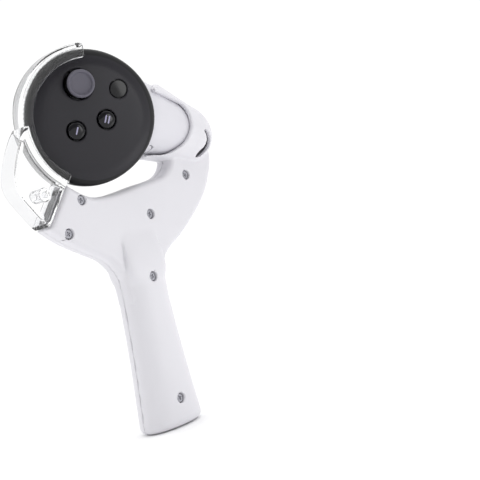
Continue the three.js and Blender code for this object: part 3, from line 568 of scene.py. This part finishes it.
CELLM = node_material("cell_jacket", srgb(116, 118, 128), 0.3, 3000, 0.03, 0.03)
BOARDM = node_material("board_green", srgb(30, 92, 62), 0.4, 2400, 0.2, 0.12)
FLEXM = node_material("flex_amber", srgb(138, 92, 40), 0.35, 2400, 0.05, 0.06)
DOMEM = node_material("dome_silicone", srgb(128, 131, 138), 0.6, 2400, 0.1, 0.03)

dark_rim_and_painted_shade(FACEM, head_radius(FACEM.node_tree), 0.0286, 0.0292, srgb(14, 14, 17))
# Painted shade: the thumbstick cap's base colour turns near-black below 6.5 mm above the face, fully by 6.1 mm,
# darkening its underside.
dark_rim_and_painted_shade(STICKM, head_value(STICKM.node_tree, fn), 0.0065, 0.0061, srgb(16, 16, 18))
# Painted shade: the upper and lower buttons' base colour turns near-black below 3.4 mm above the face, fully by 3.1 mm,
# darkening their sides.
dark_rim_and_painted_shade(GLOSSM, head_value(GLOSSM.node_tree, fn), 0.0034, 0.0031, srgb(8, 8, 10))

CLEARM = bpy.data.materials.new("clear_plastic")
CLEARM.use_nodes = True
nt = CLEARM.node_tree
bs = nt.nodes["Principled BSDF"]
# Painted shade: the guard's base colour goes from near-white where it faces the view to near-black at grazing angles,
# drawing dark outlines along its edges.
lw = nt.nodes.new("ShaderNodeLayerWeight")
lw.inputs["Blend"].default_value = 0.5
edge = nt.nodes.new("ShaderNodeValToRGB")
edge.color_ramp.elements[0].position = 0.22
edge.color_ramp.elements[0].color = (0.985, 0.987, 0.99, 1)
edge.color_ramp.elements[1].position = 0.88
edge.color_ramp.elements[1].color = (0.05, 0.052, 0.06, 1)
mid = edge.color_ramp.elements.new(0.6)
mid.color = (0.76, 0.765, 0.785, 1)
nt.links.new(lw.outputs["Facing"], edge.inputs["Fac"])
nt.links.new(edge.outputs["Color"], bs.inputs["Base Color"])
bs.inputs["Transmission Weight"].default_value = 1.0
bs.inputs["IOR"].default_value = 1.36
bs.inputs["Specular IOR Level"].default_value = 0.16
tc = nt.nodes.new("ShaderNodeTexCoord")
nz = nt.nodes.new("ShaderNodeTexNoise")
nz.inputs["Scale"].default_value = 900
nt.links.new(tc.outputs["Object"], nz.inputs["Vector"])
mr = nt.nodes.new("ShaderNodeMapRange")
mr.inputs["To Min"].default_value = 0.0
mr.inputs["To Max"].default_value = 0.012
nt.links.new(nz.outputs["Fac"], mr.inputs["Value"])
nt.links.new(mr.outputs["Result"], bs.inputs["Roughness"])

for n_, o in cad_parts.items():
    kind = {
        "front_shell": WHITE, "rear_shell": WHITE, "clear_guard": CLEARM, "face_plate": FACEM, "head_housing": BOWLM, "grip_shell": GRIPM,
        "battery_door": GRIPM, "grip_button": GRIPM, "battery_cradle": DARKM, "battery_cell": CELLM, "battery_contact_spring": SPRINGM,
        "battery_contact_plate": SPRINGM, "thumbstick_cap": STICKM, "stick_stem": DARKM, "stick_gimbal_ring": CANM, "stick_carriage": DARKM,
        "stick_module_base": DARKM, "upper_button_cap": GLOSSM, "lower_button_cap": GLOSSM, "menu_button": CAPM, "button_dome_mat": DOMEM,
        "main_board": BOARDM, "tracking_led_strip": FLEXM, "haptic_motor": CANM, "trigger": DARKM, "trigger_sensor_board": BOARDM,
        "trigger_spring": SPRINGM, "grip_button_spring": SPRINGM,
    }.get(n_, SCREWM)
    o.data.materials.clear()
    o.data.materials.append(kind)

# ------------------------------------------------------------------ build the shells
v, q, nn = contour(front_shell, (-56, -21, -2), (68, 2.5 + 3, 172), 0.8)
to_object("front_shell_skin", v, q, nn, node="front_shell", material=WHITE, slot="white_shell")
v, q, nn = contour(rear_shell, (-56, -2, -2), (68, 21, 172), 0.85)
to_object("rear_shell_skin", v, q, nn, node="rear_shell", material=WHITE, slot="white_shell")

# ------------------------------------------------------------------ controller
def rim(r, u):
    """The head's outline isn't a true circle: its radius by angle, as a share of the CAD radius."""
    t = np.arctan2(r, u)
    rad = 31.564 + 0.015 * np.cos(t) + 0.272 * np.sin(t) - 0.413 * np.cos(2 * t) - 0.245 * np.sin(2 * t)
    rad = rad - 0.419 * np.cos(3 * t) + 0.4 * np.sin(3 * t)
    return np.hypot(r, u) * (31.6 / np.minimum(rad, 32.2))


def head_piece(name, f, lo, hi, h, **kw):
    """Contours f, which is given in the head's own frame, and puts the mesh in place."""
    v, q, nn = contour(f, lo, hi, h)
    return to_object(name, from_head(v), q, nn @ HEAD_ROWS, **kw)


STICK, UPPER, LOWER, MENU = (13.55, 9.65), (-7.6, 6.35), (0.9, -6.7), (16.25, -9.45)
WELLS = [(STICK, 7.2), (UPPER, 4.75), (LOWER, 4.75), (MENU, 4.45)]
POSTS = [(-18, -14), (-6, 22.5), (16, 19.2)]
face2 = Outline(
    curve([[-0.5, 1.2], [27, 1.2], [29.2, 0.2], [29.8, -1.0], [31.6, -1.0], [31.45, -0.3], [30.75, 0.7], [29.4, 1.55], [27.6, 2.25], [25.6, 2.75], [23.6, 3.0], [12, 3.0], [-0.5, 3.0]], 5, sharp=(0, 1, 3, 4, 11, 12)), 0.1
)


def face_plate(r, u, n):
    d = face2(rim(r, u), n)
    for c, rad in WELLS:
        rr = np.hypot(r - c[0], u - c[1])
        d = rint(d, rad - rr, 0.32)
    rr = np.hypot(r - STICK[0], u - STICK[1])
    d = np.minimum(d, np.maximum(np.abs(rr - 7.7) - 0.5, np.abs(n - 0.6) - 1.1))  # collar of the thumbstick's well
    for pr, pu in POSTS:
        rr = np.hypot(r - pr, u - pu)
        d = np.minimum(d, np.maximum(np.maximum(rr - 2.2, 1.0 - rr), np.abs(n + 2.4) - 4.0))
    return d


head_piece("face_plate_skin", face_plate, (-34, -34, -7.4), (34, 34, 4.2), 0.5, node="face_plate", material=FACEM, slot="face_black")

k_ = 31.6 / 31
bowl_pts = [[31, -1.3], [31, -5], [30.2, -9.8], [28.2, -14], [24.6, -17.8], [19, -20.6], [10, -22.2], [-1, -22.6], [-1, -20.8], [10, -20.4], [18.3, -18.9], [23.4, -16.4], [26.7, -13], [28.6, -9.2], [29.2, -5], [29.2, -1.3]]
bowl2 = Outline(curve([[a * k_, b] for a, b in bowl_pts], 5, sharp=(0, 7, 8, 15)))
keep2 = Outline(curve([[a * k_, b] for a, b in [[-1, -22.95], [10, -22.55], [19.2, -20.95], [24.9, -18.15], [28.55, -14.25], [30.6, -9.95], [31.4, -5], [31.4, 6], [-1, 6]]], 5, sharp=(0, 7, 8)))
G_O, G_D, G_U, G_F = CUP, cd, gup, gfr


def on_grip(x, y, z):
    """(along the grip, towards the palm side, towards the front)"""
    dx, dy, dz = x - F(G_O[0]), y - F(G_O[1]), z - F(G_O[2])
    return tuple(dx * F(a[0]) + dy * F(a[1]) + dz * F(a[2]) for a in (G_D, G_U, G_F))


GS = np.linspace(-52, 20, 145)
_g = curve([[-52, 7, 5], [-46, 11.5, 3], [-38, 15.2, 1.2], [-28, 17.3, 0.3], [-14, 18.51, 0], [0, 16.4, 0], [10, 14.89, 0], [20, 13.38, 0]], 10, closed=False)
GR, GC = np.interp(GS, _g[:, 0], _g[:, 1]), np.interp(GS, _g[:, 0], _g[:, 2])


def grip_solid(s, a, b, less=0.0):
    rad = np.interp(s, GS, GR).astype(F) - F(less)
    c = np.interp(s, GS, GC).astype(F)
    rho = np.hypot(a, b - c)
    re, ln = 13.38 - less, 13.0 - less
    k0, k1 = np.hypot(rho / re, (s - 20) / ln), np.hypot(rho / re**2, (s - 20) / ln**2)
    return np.where(s < 20, np.maximum((rho - rad) * 0.96, -52 + less - s), k0 * (k0 - 1) / np.maximum(k1, 1e-4))


MID = math.radians(88)


def pad_box(s, a, b, half, s0, s1):
    along = -math.sin(MID) * a + math.cos(MID) * b
    across = -math.cos(MID) * a - math.sin(MID) * b
    return rint(rint(np.abs(across) - half, np.abs(s - (s0 + s1) / 2) - (s1 - s0) / 2, 2.2), np.abs(along - 17) - 8, 0.1)


def door_box(s, a, b, a0, a1, s0, s1):
    ang = np.arctan2(-a, b)
    mid, half = math.radians((a0 + a1) / 2), math.radians((a1 - a0) / 2)
    dif = np.abs((ang - mid + math.pi) % (2 * math.pi) - math.pi) - half
    rho = np.hypot(a, b)
    return rint(rint(dif * rho, np.abs(s - (s0 + s1) / 2) - (s1 - s0) / 2, 1.6), 9 - rho, 0.1)


def keep_out(x, y, z, grow=0.0):
    r, u, n = to_head(x, y, z)
    return keep2(rim(r, u), n) - F(grow)


def grip_shell(x, y, z):
    s, a, b = on_grip(x, y, z)
    d = rint(grip_solid(s, a, b), -grip_solid(s, a, b, 1.9), 0.3)
    d = rint(d, -keep_out(x, y, z), 0.4)
    d = rint(d, -pad_box(s, a, b, 11.4, -24.5, -3.6), 0.35)
    return rint(d, -door_box(s, a, b, 190, 280, -12, 27.3), 0.35)


def battery_door(x, y, z):
    s, a, b = on_grip(x, y, z)
    d = rint(grip_solid(s, a, b), -grip_solid(s, a, b, 1.7), 0.3)
    d = rint(d, door_box(s, a, b, 191.3, 278.7, -11.7, 24), 0.4)
    ang = np.degrees(np.arctan2(-a, b)) % 360
    ridge = np.maximum(np.abs(((s + 9.5) % 1.6) - 0.8) - 0.3, np.abs(s + 6.3) - 3.0)  # thumb grooves near the head
    cut = np.maximum(np.maximum(ridge, -0.35 - grip_solid(s, a, b)), (np.abs(ang - 235) - 13) * 0.3)
    return rint(np.maximum(d, keep_out(x, y, z) * -1), -cut, 0.12)


def grip_button(x, y, z):
    s, a, b = on_grip(x, y, z)
    outer = grip_solid(s, a, b)
    d = rint(outer, -grip_solid(s, a, b, 2.2), 0.3)
    d = rint(d, pad_box(s, a, b, 11.0, -23.5, -4.0), 0.5)
    d = rint(d, -keep_out(x, y, z, 1.3), 0.4)
    pu, ps = -(18.9 + 0.151 * 5 - 2.5 - 4.6), -5.8
    lug = np.maximum(np.hypot(a - pu, s - ps) - 1.7, np.abs(b) - 5)
    web = np.maximum(np.maximum(np.abs(a - pu + 1.4) - 1.7, np.abs(s - ps) - 1.5), np.abs(b) - 5)
    d = np.minimum(d, np.maximum(np.minimum(lug, web), grip_solid(s, a, b, 0.4)))
    return np.maximum(d, -np.maximum(np.hypot(a - pu, s - ps) - 0.85, np.abs(b) - 9))


def world_piece(name, f, lo, hi, h, **kw):
    v, q, nn = contour(f, lo, hi, h)
    return to_object(name, v, q, nn, **kw)


world_piece("grip_shell_skin", grip_shell, (-26, -24, 116), (66, 24, 192), 0.65, node="grip_shell", material=GRIPM, slot="controller_white")
lo_, hi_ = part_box("battery_door")
world_piece("battery_door_skin", battery_door, np.array(lo_) * 1000 - 2, np.array(hi_) * 1000 + 2, 0.5, body="door", node="battery_door", material=GRIPM, slot="controller_white")
lo_, hi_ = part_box("grip_button")
world_piece("grip_button_skin", grip_button, np.array(lo_) * 1000 - 2, np.array(hi_) * 1000 + 2, 0.5, body="grip_pad", node="grip_button", material=GRIPM, slot="controller_white")


def head_housing(r, u, n):
    d = bowl2(rim(r, u), n)
    win = rint(rint(np.abs(r - 4) - 7.3, np.abs(u - 16.6) - 7.5, 1.5), np.abs(n + 20) - 8, 0.1)
    d = rint(d, -win, 0.45)
    d = rint(d, -np.maximum(np.hypot(r - 6, u + 8) - 7, np.abs(n + 23) - 7), 0.3)
    x, y, z = (HEAD[i] + r * fr[i] + u * fu[i] + n * fn[i] for i in range(3))
    s, a, b = on_grip(x, y, z)
    return rint(d, -np.maximum(np.hypot(a - 1.2, b + 0.6) - 9.2, np.abs(s + 15) - 17), 0.3)


head_piece("head_housing_skin", head_housing, (-34, -34, -24), (34, 34, 0), 0.7, node="head_housing", material=BOWLM, slot="bowl_black")

TRIG = [[20.2, -11.6], [21.8, -15.5], [22.3, -20.5], [21.2, -26], [18.4, -31], [13.4, -35.6], [8.2, -37.6], [7.6, -35.4], [11.4, -32.2], [14, -27.4], [14.6, -22.5], [14.2, -17.5], [15.0, -12.4], [17.4, -10.6]]
trig2 = Outline(curve(TRIG, 5, sharp=(6, 7)), 0.1)


def trigger(r, u, n):
    scoop = 1.1 * np.exp(-(((r - 4) / 5.5) ** 2)) * step01((-14 - n) / 5) * step01((u - 15) / 4)
    d = rint(trig2(u, n) + scoop, np.abs(r - 4) - 6.4, 1.5)
    return rint(d, -(np.hypot(u - 17.6, n + 13.2) - 1.35), 0.2)


head_piece("trigger_skin", trigger, (-4, 5, -40), (12, 25, -8), 0.45, body="trigger_lever", node="trigger", material=DARKM, slot="dark_plastic")


def lathe(name, profile, centre, body, node, material, slot, seg=112):
    """Turned piece about the head's n axis: profile of [radius, n], a closed loop or ending on the axis."""
    prof = np.array(profile, float)
    ring, top = [], []
    vs, qs = [], []
    t = np.arange(seg) / seg * 2 * math.pi
    for rad, n in prof:
        vs.append(np.stack([centre[0] + rad * np.cos(t), centre[1] + rad * np.sin(t), np.full(seg, n)], 1))
    k = len(prof)
    for i in range(k if prof[0][0] > 0.01 else k - 1):
        j = (i + 1) % k
        for a in range(seg):
            b_ = (a + 1) % seg
            qs.append((i * seg + a, j * seg + a, j * seg + b_, i * seg + b_))
    o = to_object(name, from_head(np.concatenate(vs)), np.array(qs), body=body, node=node, material=material, slot=slot)
    import bmesh

    bm = bmesh.new()
    bm.from_mesh(o.data)
    bmesh.ops.remove_doubles(bm, verts=bm.verts, dist=2e-7)
    bmesh.ops.dissolve_degenerate(bm, dist=1e-8, edges=bm.edges)
    bmesh.ops.recalc_face_normals(bm, faces=bm.faces)
    bm.to_mesh(o.data)
    bm.free()
    o.data.set_sharp_from_angle(angle=math.radians(50))
    return o


cap = [[1.5, 6.0], [1.5, 5.45]] + curve([[2.8, 4.0], [4.2, 2.2], [5.1, 0.15]], 6, False).tolist() + curve([[5.9, 0.35], [5.0, 2.6], [3.7, 4.5], [3.3, 5.55]], 6, False).tolist()
cap += curve([[5.2, 5.75], [6.1, 6.15], [6.5, 6.9], [6.45, 7.7], [6.2, 8.3], [5.8, 8.6], [5.35, 8.5], [5.0, 8.05], [4.75, 7.55], [4.3, 7.3], [2.2, 7.12], [0.0, 7.08]], 5, False).tolist()
cap = [[0.0, 5.9], [1.5, 5.9]] + cap[1:]
lathe("thumbstick_cap_skin", cap, STICK, "stick", "thumbstick_cap", STICKM, "stick_rubber")


def dome_top(rr, top, rad):
    return top - 1.15 * np.clip(rr / rad, 0, 1.2) ** 2.4


for nm, c, body in (("upper_button_cap", UPPER, "upper_button"), ("lower_button_cap", LOWER, "lower_button")):
    prof = [[0, -3.6], [1.7, -3.6], [1.7, 0.1], [4.9, 0.1], [4.9, 0.8], [4.35, 0.8]]
    prof += curve([[4.35, 2.1], [4.2, 2.9], [3.98, 3.4], [3.6, 3.75], [2.8, 4.02], [1.4, 4.16], [0, 4.2]], 5, False).tolist()
    lathe(nm + "_skin", prof, c, body, nm, GLOSSM, "button_black")
prof = [[0, -3.6], [1.5, -3.6], [1.5, 0.1], [4.6, 0.1], [4.6, 0.8], [4.15, 0.8], [4.15, 2.75]] + curve([[4.15, 2.75], [4.08, 2.98], [3.85, 3.1], [3.6, 3.12]], 5, False).tolist() + [[1.8, 3.12], [0, 3.12]]
lathe("menu_button_skin", prof, MENU, "menu", "menu_button", CAPM, "button_black")


def cap_height(rr):
    return np.interp(rr, [0, 1.4, 2.8, 3.6, 3.98], [4.2, 4.16, 4.02, 3.75, 3.4])


def mark(name, centre, bars, body):
    def f(r, u, n):
        a, b_ = r - centre[0], u - centre[1]
        d = np.full(a.shape, 9.0, F)
        for off in bars:
            d = np.minimum(d, np.hypot(np.maximum(np.abs(a) - 1.5, 0), b_ - off) - 0.34)
        top = cap_height(np.hypot(a, b_)).astype(F)
        return np.maximum(d, np.abs(n - (top - 0.03)) - 0.075)

    head_piece(name, f, (centre[0] - 2.6, centre[1] - 2.2, 3.2), (centre[0] + 2.6, centre[1] + 2.2, 4.4), 0.1, body=body, material=MARKM, slot="button_black")


mark("upper_button_mark", UPPER, [0.0], "upper_button")
mark("lower_button_mark", LOWER, [-0.8, 0.8], "lower_button")


# ------------------------------------------------------------------ screws
def screw_mesh(length):
    def f(x, y, z):
        rho = np.hypot(x, z)
        head = rint(rho - 2.15, np.abs(y - 0.85) - 0.85, 0.35)
        shank = rint(rho - 1.2, np.abs(y - (length + 1.2) / 2) - (length - 1.2 + 1.2) / 2, 0.3)
        d = np.minimum(head, shank)
        depth = y - 0.62
        w = 0.34 - 0.1 * y
        cross = np.minimum(np.maximum(np.abs(x) - w, np.abs(z) - 1.25 + 0.5 * y), np.maximum(np.abs(z) - w, np.abs(x) - 1.25 + 0.5 * y))
        return rint(d, -np.maximum(cross, depth), 0.08)

    return contour(f, (-2.6, -0.5, -2.6), (2.6, length + 1.2, 2.6), 0.17)


made = {}
for i_, (sx, sz, yf) in enumerate(SCREWS):
    length = round(-yf + 1.6, 2)
    if length not in made:
        made[length] = screw_mesh(length)
    v, q, nn = made[length]
    turn = math.radians(17 + 47 * i_)
    R_ = np.array([[math.cos(turn), 0, math.sin(turn)], [0, 1, 0], [-math.sin(turn), 0, math.cos(turn)]])
    to_object(f"shell_screw_{i_ + 1}_skin", v @ R_.T + [sx, yf + 1.1, sz + B], q, nn @ R_.T, node=f"shell_screw_{i_ + 1}", material=SCREWM, slot="screw_steel")

# ------------------------------------------------------------------ clear guard
SECTION = [[27.8, 3.6], [32.7, 3.6], [32.7, -8.2], [31.6, -8.2], [31.6, -9.8], [33.8, -9.8], [34.9, -8.7], [34.9, 3.8], [33.7, 5.2], [28.3, 5.2]]
section2 = Outline(SECTION, 0.1)
BRACKET = [
    [-50.6, 149.6], [-53.4, 146.2], [-57.2, 140.4], [-59.7, 135.6], [-61.6, 131.3], [-62.9, 126.7], [-62.8, 122.4], [-61.2, 118.4],
    [-57.8, 113.2], [-54.6, 108.6], [-51.9, 105.0], [-50.4, 103.4], [-47.9, 105.0], [-39.6, 115.6], [-35.9, 120.2], [-32.4, 122.4], [-32, 126], [-35, 133], [-38, 142], [-42, 149.6],
]
bracket2 = Outline(curve(BRACKET, 4, sharp=(0, 11, 12, 15, 19)) + [0, B])
clear2 = Outline([[-1, -40], [32.7, -40], [32.7, 3.6], [27.8, 3.6], [28.3, 5.2], [31.9, 5.2], [31.9, 40], [-1, 40]], 0.2)


def clear_guard(x, y, z):
    r, u, n = to_head(x, y, z)
    rho = np.hypot(r, u)
    dth = np.abs(np.arctan2(r, u) + math.radians(5)) - math.radians(75)
    arc = rint(section2(rho, n), rho * np.sin(np.clip(dth, -1.5, 1.5)), 1.2)
    o = bracket2(x, z)
    pocket = rint(rint(o + 2.0, -4.4 - y, 0.8), 36.3 - rho, 0.8)
    br = rint(rint(o, np.abs(y) - 6.2, 1.5), -pocket, 0.4)
    br = rint(br, -clear2(rho, n), 0.3)
    bq = np.hypot(x + 48.4, z - 118.2 - B)
    br = runi(br, np.maximum(bq - 3.0, np.abs(y + 0.8) - 4.2), 0.5)
    d = runi(br, arc, 0.5)
    d = rint(d, -np.maximum(arm_box(x, z, -20, 25.6, -30, 0), np.abs(y) - 20), 0.3)
    d = np.minimum(d, rint(arm_box(x, z, 4.6, 21.6, -7, 1.2), np.abs(y) - 2.6, 0.4))
    d = rint(d, -np.maximum(bq - 1.5, np.abs(y - 1.8) - 6.0), 0.2)
    for sx, sz, yf in SCREWS[:2]:
        d = rint(d, 4.0 - np.hypot(x - sx, z - sz - B), 0.3)
    return d


world_piece("clear_guard_skin", clear_guard, (-66, -30, 104), (-2, 10, 192), 0.42, node="clear_guard", material=CLEARM, slot="clear_plastic")

# ------------------------------------------------------------------ stage
floor_mesh = bpy.data.meshes.new("floor")
floor_mesh.from_pydata([(-60, -60, 0), (60, -60, 0), (60, 60, 0), (-60, 60, 0)], [], [(0, 1, 2, 3)])
floor = bpy.data.objects.new("floor", floor_mesh)
bpy.context.scene.collection.objects.link(floor)
floor.location.z = -0.0005
fm = node_material("floor_paper", (0.965, 0.965, 0.968), 0.95, 400, 0.0, 0.003, spec=0.2)
floor_mesh.materials.append(fm)
floor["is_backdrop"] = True

world = bpy.data.worlds.new("studio")
bpy.context.scene.world = world
world.use_nodes = True
wnt = world.node_tree
bg = wnt.nodes["Background"]
bg.inputs["Color"].default_value = (1, 1, 1.0, 1)


def wmath(op, a, b=None, c=None):
    nd = wnt.nodes.new("ShaderNodeMath")
    nd.operation = op
    for i, val in enumerate((a, b, c)):
        if val is None:
            continue
        if isinstance(val, (int, float)):
            nd.inputs[i].default_value = val
        else:
            wnt.links.new(val, nd.inputs[i])
    return nd.outputs[0]


def wramp(value, a, b):
    nd = wnt.nodes.new("ShaderNodeMapRange")
    nd.interpolation_type = "SMOOTHSTEP"
    nd.inputs["From Min"].default_value = a
    nd.inputs["From Max"].default_value = b
    wnt.links.new(value, nd.inputs["Value"])
    return nd.outputs["Result"]


wtc = wnt.nodes.new("ShaderNodeTexCoord")
wsep = wnt.nodes.new("ShaderNodeSeparateXYZ")
wnt.links.new(wtc.outputs["Generated"], wsep.inputs[0])
wx, wy, wz = wsep.outputs
toward = wmath("ADD", wmath("MULTIPLY", wx, -0.6), wmath("MULTIPLY", wy, -0.8))  # 1 on the side the light falls on the front from
front = wramp(toward, 0.1, 0.9)
strength = wmath("SUBTRACT", 1.03, wmath("MULTIPLY", front, 0.7))
strength = wmath("ADD", strength, wmath("MULTIPLY", wramp(wz, 0.3, 0.95), 0.5))
lp = wnt.nodes.new("ShaderNodeLightPath")
seen = wmath("MULTIPLY", lp.outputs["Is Camera Ray"], wmath("SUBTRACT", 1.05, strength))
wnt.links.new(wmath("ADD", strength, seen), bg.inputs["Strength"])  # plain white backdrop on every side


def area(name, at, target, size, power, colour=(1, 1, 1)):
    ld = bpy.data.lights.new(name, "AREA")
    ld.shape = "RECTANGLE"
    ld.size, ld.size_y = size
    ld.energy = power
    ld.color = colour
    lo_ = bpy.data.objects.new(name, ld)
    bpy.context.scene.collection.objects.link(lo_)
    lo_.location = at
    lo_.rotation_mode = "QUATERNION"
    lo_.rotation_quaternion = (Vector(target) - Vector(at)).to_track_quat("-Z", "Y")
    return lo_


area("right_softbox", (0.52, -0.5, 0.12), (0, 0, 0.1), (0.15, 0.32), 0.06)
area("left_softbox", (-0.75, 0.3, 0.15), (0, 0, 0.1), (0.3, 0.5), 0.3)


def mirror_light(name, at, centre, edge_line, outward, length, width, far, power):
    """An area light whose edge, as seen in a flat cap, crosses it at the given point."""
    n_ = Vector(fn.tolist())
    p_ = Vector(from_head(np.array([[centre[0], centre[1], at]]))[0].tolist()) / 1000
    c_ = cam.matrix_world.translation
    cc = c_ - 2 * (c_ - p_).dot(n_) * n_
    d_ = (p_ - cc).normalized()
    flip = lambda v_: v_ - 2 * v_.dot(n_) * n_
    off = flip(outward).normalized()
    ex = flip(edge_line).normalized()
    spot = p_ + d_ * far + off * (width / 2)
    o_ = area(name, spot, p_, (length, width), power)
    zax = (spot - p_).normalized()
    ex = (ex - ex.dot(zax) * zax).normalized()
    o_.rotation_mode = "QUATERNION"
    o_.rotation_quaternion = Matrix((ex, zax.cross(ex), zax)).transposed().to_quaternion()
    return o_


mirror_light("low_strip", 3.12, MENU, right * 0.419 - up * 0.908, right * 0.908 + up * 0.419, 0.1, 0.06, 0.28, 0.055)
tilt = -0.9 * fu - 0.43 * fr  # lower right of the face
edge_n = Vector((math.cos(math.radians(17)) * fn + math.sin(math.radians(17)) * tilt).tolist()).normalized()
edge_p = Vector((HEAD + 27 * tilt + 2.4 * fn).tolist()) / 1000
cc_ = cam.matrix_world.translation
cc_ = cc_ - 2 * (cc_ - edge_p).dot(edge_n) * edge_n
edge_d = (edge_p - cc_).normalized()
far_ = 0.34
if edge_d.z < 0:
    far_ = min(far_, (edge_p.z - 0.03) / -edge_d.z)
area("shoulder_strip", edge_p + edge_d * far_, edge_p, (0.1, 0.1), 0.04)
bpy.context.scene.view_settings.view_transform = "Standard"

size = {"cad": [list(CAD_LO), list(CAD_HI)], "visual": [list(v_) for v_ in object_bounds()]}
